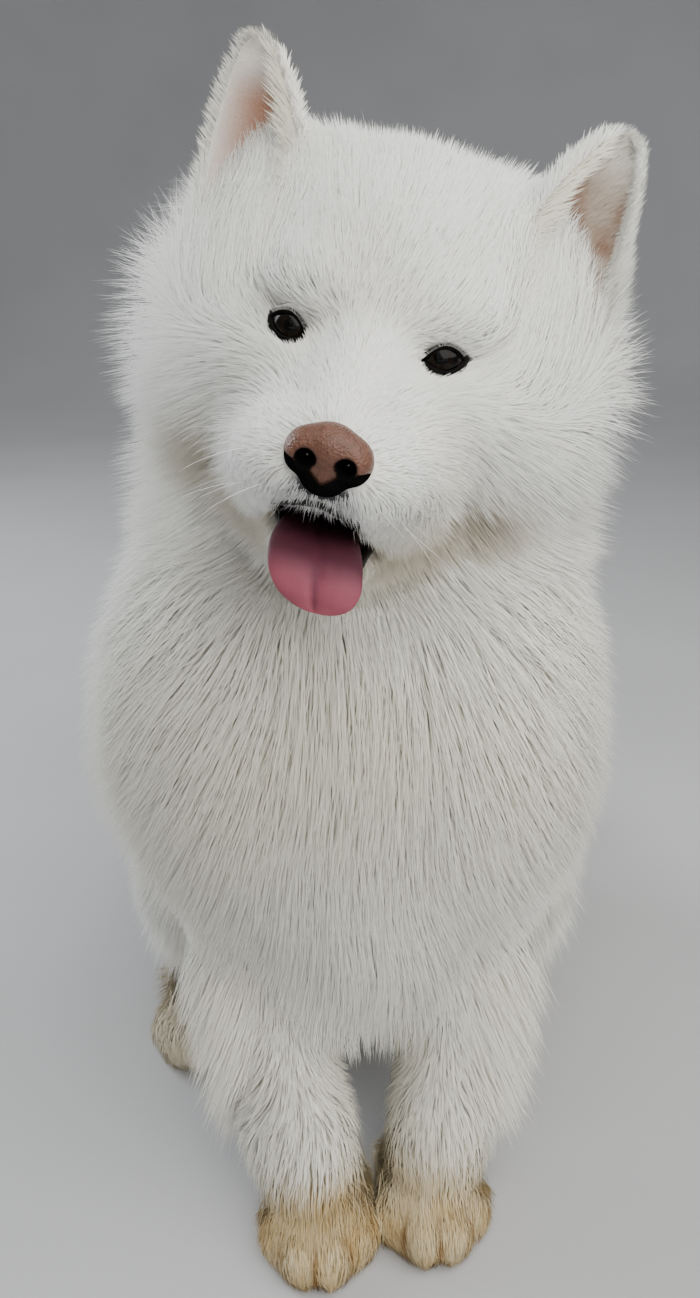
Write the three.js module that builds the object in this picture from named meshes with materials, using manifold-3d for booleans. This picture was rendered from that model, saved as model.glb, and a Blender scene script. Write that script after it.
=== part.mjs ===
// A Samoyed dog sitting upright with its head tilted and its tongue out, life size, in millimetres.
// +Z is up, the dog looks along -Y, and its left side is at +X. Its feet, rump and tail rest on z = 0.
import * as THREE from "three";
import { mergeVertices } from "three/addons/utils/BufferGeometryUtils.js";
import Module from "manifold-3d";

const wasm = await Module();
wasm.setup();

// Driving dimensions
const GAP = 0.4; // left between touching pieces
const SHORTEST_EDGE = 0.1; // edges that a cut leaves shorter than this are closed up
const DENSE_SHARE = 0.42; // how far the dense undercoat of a long coat reaches from the skin towards the tips
const EYE_RADIUS = 12.5;
const EYE_SPACING = 76; // centre to centre
const EYE_DEPTH = 12; // eye centre behind the plane of the eye line
const LID_THICKNESS = 2.6;
const EYE_OPENING = { width: 23, height: 12.5, slant: 13, outward: 14 };
const NOSE = { x: 0, y: -84, z: -45, halfWidth: 18.5, halfDepth: 13, halfHeight: 16 };
const TONGUE_WIDTH = 45;
const LIP_RADIUS = 2.6;

// The head's own frame has its origin midway between the eyes, the muzzle along -Y and the crown along +Z.
const HEAD_PLACE = [14.6, -145, 581];
const HEAD_TURN = { yaw: -5.8, pitch: -4.3, tilt: 15.8 }; // degrees
const headFrame = new THREE.Matrix4().makeRotationFromEuler(
  new THREE.Euler(...[HEAD_TURN.pitch, HEAD_TURN.tilt, HEAD_TURN.yaw].map(THREE.MathUtils.degToRad), "ZXY"),
);
headFrame.setPosition(...HEAD_PLACE);
const headFrameInverse = headFrame.clone().invert();

// Where the forepaws stand and how far each is turned out, in degrees
const FOREPAWS = { right: { x: -33, y: -163, turn: -4 }, left: { x: 42, y: -150, turn: 5 } };
const HINDPAWS = { right: { x: -134, y: 24, turn: -14 }, left: { x: 97, y: 52, turn: 6 } };
const SIDES = { right: -1, left: 1 };

const vec = (p) => new THREE.Vector3(...p);
const mirrored = (p, side) => [p[0] * side, p[1], p[2]];

// Forms: each gives the distance in mm from a point to its surface, negative inside. thicker moves the
// surface out by that much.

// An ellipsoid, turned by degrees about X, Y and Z
function ball(centre, radii, turn = [0, 0, 0]) {
  const middle = vec(centre);
  const unturn = new THREE.Quaternion()
    .setFromEuler(new THREE.Euler(...turn.map(THREE.MathUtils.degToRad), "ZYX"))
    .invert();
  return (p, thicker = 0) => {
    const q = p.clone().sub(middle).applyQuaternion(unturn);
    const r = radii.map((x) => x + thicker);
    const near = Math.hypot(q.x / r[0], q.y / r[1], q.z / r[2]);
    const slope = Math.hypot(q.x / r[0] ** 2, q.y / r[1] ** 2, q.z / r[2] ** 2);
    return slope < 1e-9 ? -Math.min(...r) : (near * (near - 1)) / slope;
  };
}

// A round bar from start to end whose radius changes evenly
function limb(start, startRadius, end, endRadius) {
  const from = vec(start);
  const along = vec(end).sub(from);
  return (p, thicker = 0) => {
    const t = THREE.MathUtils.clamp(p.clone().sub(from).dot(along) / along.lengthSq(), 0, 1);
    const radius = THREE.MathUtils.lerp(startRadius, endRadius, t) + thicker;
    return p.distanceTo(from.clone().addScaledVector(along, t)) - radius;
  };
}

const smoothMin = (a, b, softness) =>
  Math.min(a, b) - (softness / 4) * Math.max(1 - Math.abs(a - b) / softness, 0) ** 2;

// The layers of the coat: bare skin, the dense undercoat and the tips of the long hair. Each piece of flesh
// is { form, dense, tips }, with the depth of the two upper layers in mm. Short hair is dense to its tips.
const piece = (form, tips, dense = DENSE_SHARE * tips) => ({ form, skin: 0, dense, tips });
const shortHaired = (form, tips) => piece(form, tips, tips);
const bare = (form) => piece(form, 0);

// Smooth union of pieces out to a layer. thickness may make the coat thinner in places.
const blend = (softness, pieces, thickness = () => 1) => (p, layer = "skin") => {
  const share = thickness(p);
  return pieces.map((x) => x.form(p, share * x[layer])).reduce((a, b) => smoothMin(a, b, softness));
};

// What two forms share, with a rounded rim
const within = (softness, a, b) => (p, layer) => -smoothMin(-a(p, layer), -b(p, layer), softness);

const inFrame = (form, inverse) => (p, layer) => form(p.clone().applyMatrix4(inverse), layer);

// The body's flesh and coat, in the dog's frame
const torsoPieces = [
  piece(ball([0, -38, 338], [96, 90, 128]), 54),
  piece(ball([0, -72, 214], [58, 52, 66]), 40),
  piece(ball([0, 22, 402], [70, 76, 80]), 48),
  piece(ball([0, 62, 292], [97, 108, 112], [-30, 0, 0]), 46),
  piece(ball([0, 132, 212], [86, 92, 96], [-30, 0, 0]), 46),
  piece(ball([0, 186, 132], [86, 78, 92]), 50),
  ...Object.values(SIDES).map((side) => piece(ball([74 * side, -55, 344], [42, 58, 100]), 46)),
];
const neckPieces = [piece(limb([10, -8, 436], 76, [13, -82, 550], 66), 77)];
// In the head's frame, a dome that rounds the ruff off behind the cheeks
const RUFF_DOME = piece(ball([0, 174, -60], [134, 134, 134]), 50);
const headPieces = [
  shortHaired(ball([0, 72, 24], [64, 62, 56]), 22),
  shortHaired(ball([0, 58, -18], [54, 58, 46]), 14),
  shortHaired(limb([0, 12, -12], 25, [0, -66, -42], 15), 5),
  shortHaired(limb([0, 0, -44], 31, [0, -58, -52], 21), 6),
  ...Object.values(SIDES).flatMap((side) => [
    shortHaired(ball([42 * side, 82, 44], [26, 32, 27]), 22),
    shortHaired(ball([26 * side, 22, 19], [25, 18, 14]), 8),
    shortHaired(ball([35 * side, 19, -21], [24, 22, 18]), 10),
    shortHaired(ball([27 * side, 4, -44], [20, 34, 24]), 8),
    piece(ball([50 * side, 54, -22], [30, 38, 38]), 58, 28),
    shortHaired(ball([17 * side, -57, -56], [19, 25, 18]), 10),
  ]),
];
// The coat is short on the face and deepens towards the back of the head
const headCoat = (p) => THREE.MathUtils.lerp(0.35, 1, THREE.MathUtils.smoothstep(p.y, 0, 75));
const jawPieces = [
  ...Object.values(SIDES).map((side) => shortHaired(limb([22 * side, 30, -74], 18, [5 * side, -50, -108], 11), 6)),
  shortHaired(ball([0, 8, -92], [22, 40, 14], [-20, 0, 0]), 8),
];

const thighPieces = (side) => [
  piece(limb([62 * side, 186, 138], 76, [94 * side, 62, 158], 50), 38),
  piece(limb([96 * side, 58, 140], 44, [106 * side, 140, 62], 34), 34),
];
const hindfootPieces = (side, paw) => [
  shortHaired(limb([112 * side, 150, 34], 24, [paw.x, paw.y + 20, 30], 24), 12),
  ...pawPieces(paw),
];
const forelegPieces = (side, paw) => [
  shortHaired(limb([78 * side, -72, 246], 36, [paw.x + 12 * side, paw.y + 26, 66], 24), 17),
];
const forepawPieces = (side, paw) => [
  shortHaired(limb([paw.x + 12 * side, paw.y + 26, 70], 24, [paw.x + 3 * side, paw.y + 12, 34], 25), 12),
  ...pawPieces(paw),
];

// Four toes and the pads behind them, spread round a paw that is turned out by paw.turn
const TOES = [
  { x: -25, y: -14 },
  { x: -9, y: -28 },
  { x: 9, y: -28 },
  { x: 25, y: -14 },
];
function pawPieces(paw) {
  const turn = THREE.MathUtils.degToRad(paw.turn);
  const placed = ([x, y, z]) => [
    paw.x + x * Math.cos(turn) - y * Math.sin(turn),
    paw.y + x * Math.sin(turn) + y * Math.cos(turn),
    z,
  ];
  return [
    shortHaired(ball(placed([0, 8, 21]), [27, 30, 19], [0, 0, paw.turn]), 6),
    ...TOES.map((toe) => shortHaired(ball(placed([toe.x, toe.y, 15]), [9.5, 16, 14], [0, 0, paw.turn]), 4)),
  ];
}

const TAIL_LINE = [
  [0, 262, 62],
  [22, 330, 56],
  [68, 376, 52],
  [122, 378, 50],
  [158, 346, 48],
];
const tailPieces = TAIL_LINE.slice(1).map((end, i) => piece(limb(TAIL_LINE[i], 27 - 4 * i, end, 23 - 4 * i), 36));

const SOFT = { body: 50, head: 16, jaw: 14, leg: 24, paw: 8, tail: 30 };
const forms = {
  torso: blend(SOFT.body, torsoPieces),
  neck: within(36, blend(SOFT.body, neckPieces), inFrame(blend(1, [RUFF_DOME]), headFrameInverse)),
  head: blend(SOFT.head, headPieces, headCoat),
  lower_jaw: blend(SOFT.jaw, jawPieces),
  tail: blend(SOFT.tail, tailPieces),
};
for (const [name, side] of Object.entries(SIDES)) {
  forms["thigh_" + name] = blend(SOFT.body, thighPieces(side));
  forms["hindfoot_" + name] = blend(SOFT.paw, hindfootPieces(side, HINDPAWS[name]));
  forms["foreleg_" + name] = blend(SOFT.leg, forelegPieces(side, FOREPAWS[name]));
  forms["forepaw_" + name] = blend(SOFT.paw, forepawPieces(side, FOREPAWS[name]));
}

// Which way a form's surface faces at a point
function facing(form, p, layer) {
  const step = 0.5;
  const n = new THREE.Vector3();
  for (const axis of ["x", "y", "z"]) {
    const ahead = p.clone();
    const behind = p.clone();
    ahead[axis] += step;
    behind[axis] -= step;
    n[axis] = (form(ahead, layer) - form(behind, layer)) / (2 * step);
  }
  return n;
}

// Moves a point onto a form's surface
function settled(form, point, layer, rounds = 3) {
  const p = point.clone();
  for (let i = 0; i < rounds; i++) {
    const n = facing(form, p, layer);
    p.addScaledVector(n, -form(p, layer) / Math.max(n.lengthSq(), 0.05));
  }
  return p;
}

// Grid lines from low to high. cell is their spacing, or a list of [upTo, spacing] bands from low upwards.
function gridLines(low, high, cell) {
  const bands = Array.isArray(cell) ? cell : [[high, cell]];
  const lines = [low];
  while (lines.at(-1) < high) {
    const [, spacing] = bands.find(([upTo]) => lines.at(-1) < upTo) ?? bands.at(-1);
    lines.push(lines.at(-1) + spacing);
  }
  return lines;
}

// Closed mesh of a form's surface, with one vertex in each cell of a grid that the surface passes through
function surfaceOf(form, layer, low, high, cell) {
  const lines = low.map((x, i) => gridLines(x, high[i], Array.isArray(cell) ? cell[i] : cell));
  const count = lines.map((x) => x.length);
  const index = (i, j, k) => (k * count[1] + j) * count[0] + i;
  const place = (i, j, k) => new THREE.Vector3(lines[0][i], lines[1][j], lines[2][k]);
  const value = new Float32Array(count[0] * count[1] * count[2]);
  const eachCorner = (visit) => {
    for (let k = 0; k < count[2]; k++)
      for (let j = 0; j < count[1]; j++) for (let i = 0; i < count[0]; i++) visit(i, j, k);
  };
  eachCorner((i, j, k) => (value[index(i, j, k)] = form(place(i, j, k), layer)));

  const corners = [0, 1, 2, 3, 4, 5, 6, 7].map((c) => [c & 1, (c >> 1) & 1, (c >> 2) & 1]);
  const vertexOf = new Map();
  const positions = [];
  eachCorner((i, j, k) => {
    if (i + 1 >= count[0] || j + 1 >= count[1] || k + 1 >= count[2]) return;
    const v = corners.map(([a, b, c]) => value[index(i + a, j + b, k + c)]);
    if (v.every((x) => x < 0) || v.every((x) => x >= 0)) return;
    const sum = new THREE.Vector3();
    let crossings = 0;
    for (let a = 0; a < 8; a++)
      for (const bit of [1, 2, 4]) {
        const b = a | bit;
        if (b === a || v[a] < 0 === v[b] < 0) continue;
        const from = place(i + corners[a][0], j + corners[a][1], k + corners[a][2]);
        const to = place(i + corners[b][0], j + corners[b][1], k + corners[b][2]);
        sum.add(from.lerp(to, v[a] / (v[a] - v[b])));
        crossings++;
      }
    vertexOf.set(index(i, j, k), positions.length / 3);
    positions.push(...settled(form, sum.divideScalar(crossings), layer, 2).toArray());
  });

  const triangles = [];
  const axes = [
    [1, 0, 0],
    [0, 1, 0],
    [0, 0, 1],
  ];
  eachCorner((i, j, k) =>
    axes.forEach((axis, d) => {
      const next = [i + axis[0], j + axis[1], k + axis[2]];
      if (next.some((x, n) => x >= count[n])) return;
      const inside = value[index(i, j, k)] < 0;
      if (inside === value[index(...next)] < 0) return;
      if ([i, j, k].some((x, n) => n !== d && x === 0)) throw new Error("a form reaches out of its box");
      const u = axes[(d + 1) % 3];
      const w = axes[(d + 2) % 3];
      const cells = [
        [0, 0],
        [1, 0],
        [1, 1],
        [0, 1],
      ].map(([a, b]) => vertexOf.get(index(i - a * u[0] - b * w[0], j - a * u[1] - b * w[1], k - a * u[2] - b * w[2])));
      const [a, b, c, e] = inside ? cells : cells.slice().reverse();
      triangles.push(a, b, c, a, c, e);
    }),
  );
  const geometry = new THREE.BufferGeometry();
  geometry.setAttribute("position", new THREE.Float32BufferAttribute(positions, 3));
  geometry.setIndex(triangles);
  return geometry;
}

// Solids: closed geometries joined and cut
function solidOf(geometry) {
  const bare = geometry.clone();
  for (const name of Object.keys(bare.attributes)) if (name !== "position") bare.deleteAttribute(name);
  const merged = mergeVertices(bare, 1e-4);
  const mesh = new wasm.Mesh({
    numProp: 3,
    vertProperties: new Float32Array(merged.attributes.position.array),
    triVerts: new Uint32Array(merged.index.array),
  });
  mesh.merge();
  return new wasm.Manifold(mesh);
}

function geometryOf(solid) {
  const mesh = solid.getMesh();
  const geometry = new THREE.BufferGeometry();
  geometry.setAttribute("position", new THREE.BufferAttribute(new Float32Array(mesh.vertProperties), 3));
  geometry.setIndex(new THREE.BufferAttribute(new Uint32Array(mesh.triVerts), 1));
  return geometry;
}

// Where a solid touches itself in a point or an edge, its two sides are drawn in from each other a little
function parted(geometry) {
  const { position } = geometry.attributes;
  geometry.computeVertexNormals();
  const seen = new Map();
  const corner = new THREE.Vector3();
  const inward = new THREE.Vector3();
  const keyOf = (i) => corner.fromBufferAttribute(position, i).toArray().map((x) => x.toFixed(3)).join();
  for (let i = 0; i < position.count; i++) seen.set(keyOf(i), [...(seen.get(keyOf(i)) ?? []), i]);
  for (const twins of seen.values()) {
    if (twins.length < 2) continue;
    for (const i of twins) {
      inward.fromBufferAttribute(geometry.attributes.normal, i);
      corner.fromBufferAttribute(position, i).addScaledVector(inward, -SHORTEST_EDGE / 2);
      position.setXYZ(i, ...corner);
    }
  }
  geometry.deleteAttribute("normal");
  return geometry;
}

const joined = (solids) => solids.reduce((sum, s) => sum.add(s));
const largest = (solid) => solid.decompose().reduce((a, b) => (b.volume() > a.volume() ? b : a));

// A copy of a closed geometry whose faces are all moved out by a distance. A vertex where faces meet at a
// sharp edge moves further than that along its normal.
function grown(geometry, by) {
  if (!by) return geometry;
  const copy = geometry.clone();
  copy.deleteAttribute("normal");
  copy.computeVertexNormals();
  const { position, normal } = copy.attributes;
  const corner = (i) => new THREE.Vector3().fromBufferAttribute(position, i);
  const normalAt = (i) => new THREE.Vector3().fromBufferAttribute(normal, i);
  const facingShare = new Array(position.count).fill(1);
  for (let f = 0; f < copy.index.count; f += 3) {
    const face = [0, 1, 2].map((k) => copy.index.getX(f + k));
    const flat = new THREE.Triangle(...face.map(corner)).getNormal(new THREE.Vector3());
    for (const i of face) facingShare[i] = Math.min(facingShare[i], flat.dot(normalAt(i)));
  }
  for (let i = 0; i < position.count; i++) {
    const moved = corner(i).addScaledVector(normalAt(i), by / Math.max(facingShare[i], 0.3));
    position.setXYZ(i, ...moved);
  }
  return copy;
}

// Offsets round a circle
const roundRing = (radius, sides) =>
  Array.from({ length: sides }, (_, k) => {
    const a = (2 * Math.PI * k) / sides;
    return [Math.cos(a) * radius, Math.sin(a) * radius];
  });

// A closed tube through stations, each { centre, across, up, ring } with ring a list of [across, up] offsets.
// A station with an empty ring is a point, and closes that end.
function loft(stations) {
  const positions = [];
  const triangles = [];
  const rings = stations.map(({ centre, across, up, ring }) => {
    const first = positions.length / 3;
    for (const [a, b] of ring.length ? ring : [[0, 0]])
      positions.push(...centre.clone().addScaledVector(across, a).addScaledVector(up, b).toArray());
    return { first, sides: ring.length || 1 };
  });
  const fan = (ring, hub, flip) => {
    for (let i = 0; i < ring.sides; i++) {
      const pair = [ring.first + i, ring.first + ((i + 1) % ring.sides)];
      triangles.push(hub, ...(flip ? pair.reverse() : pair));
    }
  };
  for (let s = 0; s + 1 < rings.length; s++) {
    const [a, b] = [rings[s], rings[s + 1]];
    if (b.sides === 1) fan(a, b.first, true);
    else if (a.sides === 1) fan(b, a.first, false);
    else
      for (let i = 0; i < a.sides; i++) {
        const j = (i + 1) % a.sides;
        triangles.push(a.first + i, b.first + j, a.first + j, a.first + i, b.first + i, b.first + j);
      }
  }
  const cap = (ring, flip) => {
    for (let i = 1; i + 1 < ring.sides; i++) {
      const pair = [ring.first + i, ring.first + i + 1];
      triangles.push(ring.first, ...(flip ? pair.reverse() : pair));
    }
  };
  cap(rings[0], false);
  cap(rings.at(-1), true);
  const geometry = new THREE.BufferGeometry();
  geometry.setAttribute("position", new THREE.Float32BufferAttribute(positions, 3));
  geometry.setIndex(triangles);
  return outward(geometry);
}

// Turns a closed geometry's faces outward if they face inward
function outward(geometry) {
  const { position } = geometry.attributes;
  const corner = (i) => new THREE.Vector3().fromBufferAttribute(position, geometry.index.array[i]);
  let volume = 0;
  for (let i = 0; i < geometry.index.count; i += 3) volume += corner(i).dot(corner(i + 1).cross(corner(i + 2)));
  if (volume < 0) geometry.setIndex(Array.from(geometry.index.array).reverse());
  return geometry;
}

// The box in which each form's surface is found, and the size of the cells it is found with. The head and
// the lower jaw are in the head's frame.
const REACH = {
  torso: [[-200, -230, -30], [200, 320, 560]],
  neck: [[-190, -290, 240], [210, 180, 720]],
  head: [[-110, -100, -100], [110, 160, 120]],
  lower_jaw: [[-70, -100, -140], [70, 80, -30]],
  tail: [[-80, 180, -20], [270, 480, 150]],
  thigh_right: [[-230, -40, -20], [60, 330, 300]],
  thigh_left: [[-60, -40, -20], [230, 330, 300]],
  hindfoot_right: [[-200, -50, -20], [-60, 210, 90]],
  hindfoot_left: [[60, -40, -20], [200, 210, 90]],
  foreleg_right: [[-160, -240, 20], [10, 30, 380]],
  foreleg_left: [[-10, -240, 20], [160, 30, 380]],
  forepaw_right: [[-100, -250, -20], [40, -80, 120]],
  forepaw_left: [[-30, -240, -20], [110, -70, 120]],
};
const acrossFace = [[-44, 22], [44, 11], [110, 22]];
const CELL = {
  torso: 38, neck: 38, tail: 31, thigh_right: 30, thigh_left: 30,
  head: [acrossFace, [[8, 10], [40, 15], [160, 26]], [[-80, 16], [34, 10], [120, 22]]],
  lower_jaw: 16, hindfoot_right: 19, hindfoot_left: 19, foreleg_right: 27, foreleg_left: 27,
  forepaw_right: 12.5, forepaw_left: 12.5,
};
const flesh = (name, layer = "dense") => surfaceOf(forms[name], layer, ...REACH[name], CELL[name]);

// The long coat: flat, tapered locks that start in the dense undercoat and lie over one another. Each node's
// locks stand this far apart at their roots, are this long, wide and thick, and lie along lie(p).
const RANDOM_SEED = 23;
const ROOT_SUNK = 9; // below the surface of the node's core
const LOCK_STEPS = 12;
const SECTIONS = [
  { along: 0, width: 0.72, thick: 0.8 },
  { along: 0.4, width: 1, thick: 1 },
  { along: 0.76, width: 0.62, thick: 0.65 },
];
const FACE_MIDDLE = vec([12, -230, 600]);
const way = (x, y, z) => new THREE.Vector3(x, y, z);
const fromFace = (p) => p.clone().sub(FACE_MIDDLE).normalize().multiplyScalar(0.9).add(way(0, 0, -0.7));
const alongTail = (p) => {
  const spine = TAIL_LINE.map(vec);
  const nearest = spine.slice(0, -1).reduce((a, b) => (b.distanceTo(p) < a.distanceTo(p) ? b : a));
  return spine[spine.indexOf(nearest) + 1].clone().sub(nearest).normalize();
};
// Where long locks grow on the head: behind the ears and on the cheeks, but not on the crown or the face
const onCheekOrNape = (p) => {
  const q = p.clone().applyMatrix4(headFrameInverse);
  return q.y > (Math.abs(q.x) > 66 ? 34 : 60) && q.z < 84 && q.z > -78;
};

// The feathering grows on the back of the forelegs
const atBack = (p, normal) => normal.y > 0.25;
const anywhere = () => true;
const overLegs = (q) => q.z > 310 || q.y > 0 || Math.abs(q.x) < 25;
const LOCKS = {
  head: { apart: 50, length: 92, width: 60, thick: 16, lie: fromFace, grows: onCheekOrNape },
  neck: { apart: 58, length: 120, width: 66, thick: 19, lie: fromFace, grows: anywhere },
  torso: {
    apart: 88, length: 145, width: 92, thick: 22, grows: overLegs,
    lie: (p) => way(0, 0.5 * THREE.MathUtils.smoothstep(p.y, -120, 0), -1),
  },
  thigh_right: { apart: 78, length: 84, width: 80, thick: 18, lie: () => way(-0.1, 0.8, -1), grows: anywhere },
  thigh_left: { apart: 78, length: 84, width: 80, thick: 18, lie: () => way(0.1, 0.8, -1), grows: anywhere },
  foreleg_right: { apart: 54, length: 70, width: 44, thick: 12, lie: () => way(-0.1, 0.6, -1), grows: atBack },
  foreleg_left: { apart: 54, length: 70, width: 44, thick: 12, lie: () => way(0.1, 0.6, -1), grows: atBack },
  tail: { apart: 58, length: 95, width: 56, thick: 16, lie: alongTail, grows: anywhere },
};

// Even random numbers from 0 to 1, the same at every run
function randomFrom(seed) {
  let state = seed;
  return () => {
    state = (state * 1664525 + 1013904223) % 4294967296;
    return state / 4294967296;
  };
}

// The outline of the whole coat, out to its tips, and a node's own undercoat
const FEATHERING = 7; // how far the feathering of the forelegs stands out of their short coat
const COATED = ["torso", "neck", "thigh_right", "thigh_left", "foreleg_right", "foreleg_left", "tail"];
const headForm = inFrame(forms.head, headFrameInverse);
const outline = (p) =>
  COATED.map((n) => forms[n](p, "tips") - (n.startsWith("foreleg") ? FEATHERING : 0))
    .reduce((a, b) => smoothMin(a, b, 30), headForm(p, "tips"));
const undercoat = (name) => (p) => (name === "head" ? headForm : forms[name])(p, "dense");
const allUndercoats = (p) => ["head", ...COATED].map((name) => undercoat(name)(p)).reduce((a, b) => Math.min(a, b));

// Points spread evenly over a node's core, clear of the head and of its neighbours' cores
function lockRoots(name, core, random) {
  const { position } = core.attributes;
  const others = COATED.filter((other) => other !== name).map(undercoat);
  const free = [];
  for (let i = 0; i < position.count; i++) {
    const p = new THREE.Vector3().fromBufferAttribute(position, i);
    if (p.z < 60 || others.some((other) => other(p) < 4)) continue;
    if (name !== "head" && headForm(p, "dense") < 4) continue;
    if (LOCKS[name].grows(p, facing(undercoat(name), p).normalize())) free.push(p);
  }
  const roots = [free[Math.floor(random() * free.length)]];
  for (;;) {
    const clearance = free.map((p) => Math.min(...roots.map((q) => q.distanceTo(p))));
    const widest = Math.max(...clearance);
    if (widest < LOCKS[name].apart) return roots;
    roots.push(free[clearance.indexOf(widest)]);
  }
}

// The course of one lock from its root in the undercoat up to the coat's outline, as its sections and its tip.
// It ends where it meets the floor.
function course(name, root, random) {
  const { length, width, thick, lie } = LOCKS[name];
  const size = 0.85 + 0.3 * random();
  const sway = (random() - 0.5) * 0.5;
  const step = (length * size) / LOCK_STEPS;
  const path = [];
  let p = root;
  for (let i = 0; i <= LOCK_STEPS && (p.z > 12 || i < 5); i++) {
    const risen = (i / LOCK_STEPS) ** 0.75;
    const layer = (q) => THREE.MathUtils.lerp(allUndercoats(q) + ROOT_SUNK, outline(q) - 1, risen);
    p = settled(layer, p, "tips", 2);
    const normal = facing(layer, p).normalize();
    const along = lie(p).projectOnPlane(normal).normalize();
    along.applyAxisAngle(normal, sway * risen);
    path.push({ centre: p, up: normal, across: along.clone().cross(normal) });
    p = p.clone().addScaledVector(along, step);
  }
  const sections = SECTIONS.map((section) => ({
    ...path[Math.round(section.along * (path.length - 1))],
    half: (section.width * width * size) / 2,
    height: section.thick * thick,
  }));
  return { sections, tip: path.at(-1), whole: path.length > LOCK_STEPS };
}

// Whether a lock reaches its whole length above the floor, with no fold or twist between its sections
function runsOn({ sections, tip, whole }) {
  if (!whole) return false;
  return [...sections, { ...tip, half: 0 }].every((next, i, all) => {
    if (i === 0) return true;
    const last = all[i - 1];
    const on = next.centre.clone().sub(last.centre);
    const edges = [-1, 1].map((side) =>
      on.clone().addScaledVector(next.across, side * next.half).addScaledVector(last.across, -side * last.half),
    );
    return edges.every((edge) => edge.dot(on) > 0.4 * on.lengthSq()) && next.across.dot(last.across) > 0.7;
  });
}

function lock({ sections, tip }, thicker) {
  const stations = sections.map(({ centre, up, across, half, height }) => ({
    centre,
    across,
    up,
    ring: [
      [-half - 3 * thicker, -0.35 * height - 1.5 * thicker],
      [half + 3 * thicker, -0.35 * height - 1.5 * thicker],
      [0, 0.65 * height + 1.5 * thicker],
    ],
  }));
  const beyond = (end, next) => end.clone().addScaledVector(end.clone().sub(next).normalize(), 6 * thicker);
  const centres = stations.map((station) => station.centre);
  stations[0].centre = beyond(centres[0], centres[1]);
  return loft([...stations, { ...tip, centre: beyond(tip.centre, centres.at(-1)), ring: [] }]);
}

// A node's core with its locks
function withLocks(name, core, gap) {
  const random = randomFrom(RANDOM_SEED + name.length);
  const courses = lockRoots(name, core, random).map((root) => course(name, root, random)).filter(runsOn);
  return joined([solidOf(grown(core, gap)), ...courses.map((sections) => solidOf(lock(sections, gap)))]);
}
const coated = (name, gap) => withLocks(name, flesh(name), gap);

// The head's details, in the head's frame
const onHead = (geometry) => geometry.applyMatrix4(headFrame);
const eyeCentre = (side) => [(EYE_SPACING / 2) * side, EYE_DEPTH, 0];

function eyeball(side, radius = EYE_RADIUS) {
  return onHead(new THREE.SphereGeometry(radius, 14, 8).translate(...eyeCentre(side)));
}

// The opening between the lids: an almond whose outer corner is the higher one, pushed through the lid
function eyeOpening(side) {
  const { width, height, slant, outward: turnedOut } = EYE_OPENING;
  const almond = new THREE.Shape();
  almond.moveTo(-width / 2, 0);
  almond.quadraticCurveTo(0, height, width / 2, 0);
  almond.quadraticCurveTo(0, -height * 0.85, -width / 2, 0);
  const prism = new THREE.ExtrudeGeometry(almond, { depth: 30, bevelEnabled: false, curveSegments: 6 });
  prism.rotateZ(THREE.MathUtils.degToRad(slant * side));
  prism.rotateX(Math.PI / 2);
  prism.rotateZ(THREE.MathUtils.degToRad(turnedOut * side));
  return onHead(prism.translate(...eyeCentre(side)));
}

// The nose leather: a rounded pad, and the comma-shaped hollow of one nostril
const noseForm = () => {
  const { x, y, z, halfWidth, halfDepth, halfHeight } = NOSE;
  return blend(6, [
    bare(ball([x, y, z + 3], [halfWidth - 3, halfDepth - 1, halfHeight - 3])),
    bare(ball([x, y + 3, z - 7], [halfWidth - 7, halfDepth - 3, halfHeight - 6])),
    ...Object.values(SIDES).map((side) => bare(ball([x + 10 * side, y + 2, z + 2], [9, halfDepth - 3, 11]))),
  ]);
};

function nostril(side) {
  const { x, y, z } = NOSE;
  const line = [
    { at: [7.5, -15, -2], radius: 4.6 },
    { at: [8.5, -7, -1], radius: 3.6 },
    { at: [9, -4, -1], radius: 2 },
  ];
  const slit = [
    { at: [8, -14, -4], radius: 2.2 },
    { at: [15, -10, -5.5], radius: 1.9 },
    { at: [21, -5, -4], radius: 1.5 },
  ];
  const part = (points) =>
    onHead(
      loft(
        points.map(({ at, radius }) => ({
          centre: new THREE.Vector3(x + at[0] * side, y + at[1], z + at[2]),
          across: points === slit ? new THREE.Vector3(0, 1, 0) : new THREE.Vector3(1, 0, 0),
          up: new THREE.Vector3(0, 0, 1),
          ring: roundRing(radius, 8),
        })),
      ),
    );
  return solidOf(part(line)).add(solidOf(part(slit)));
}

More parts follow.
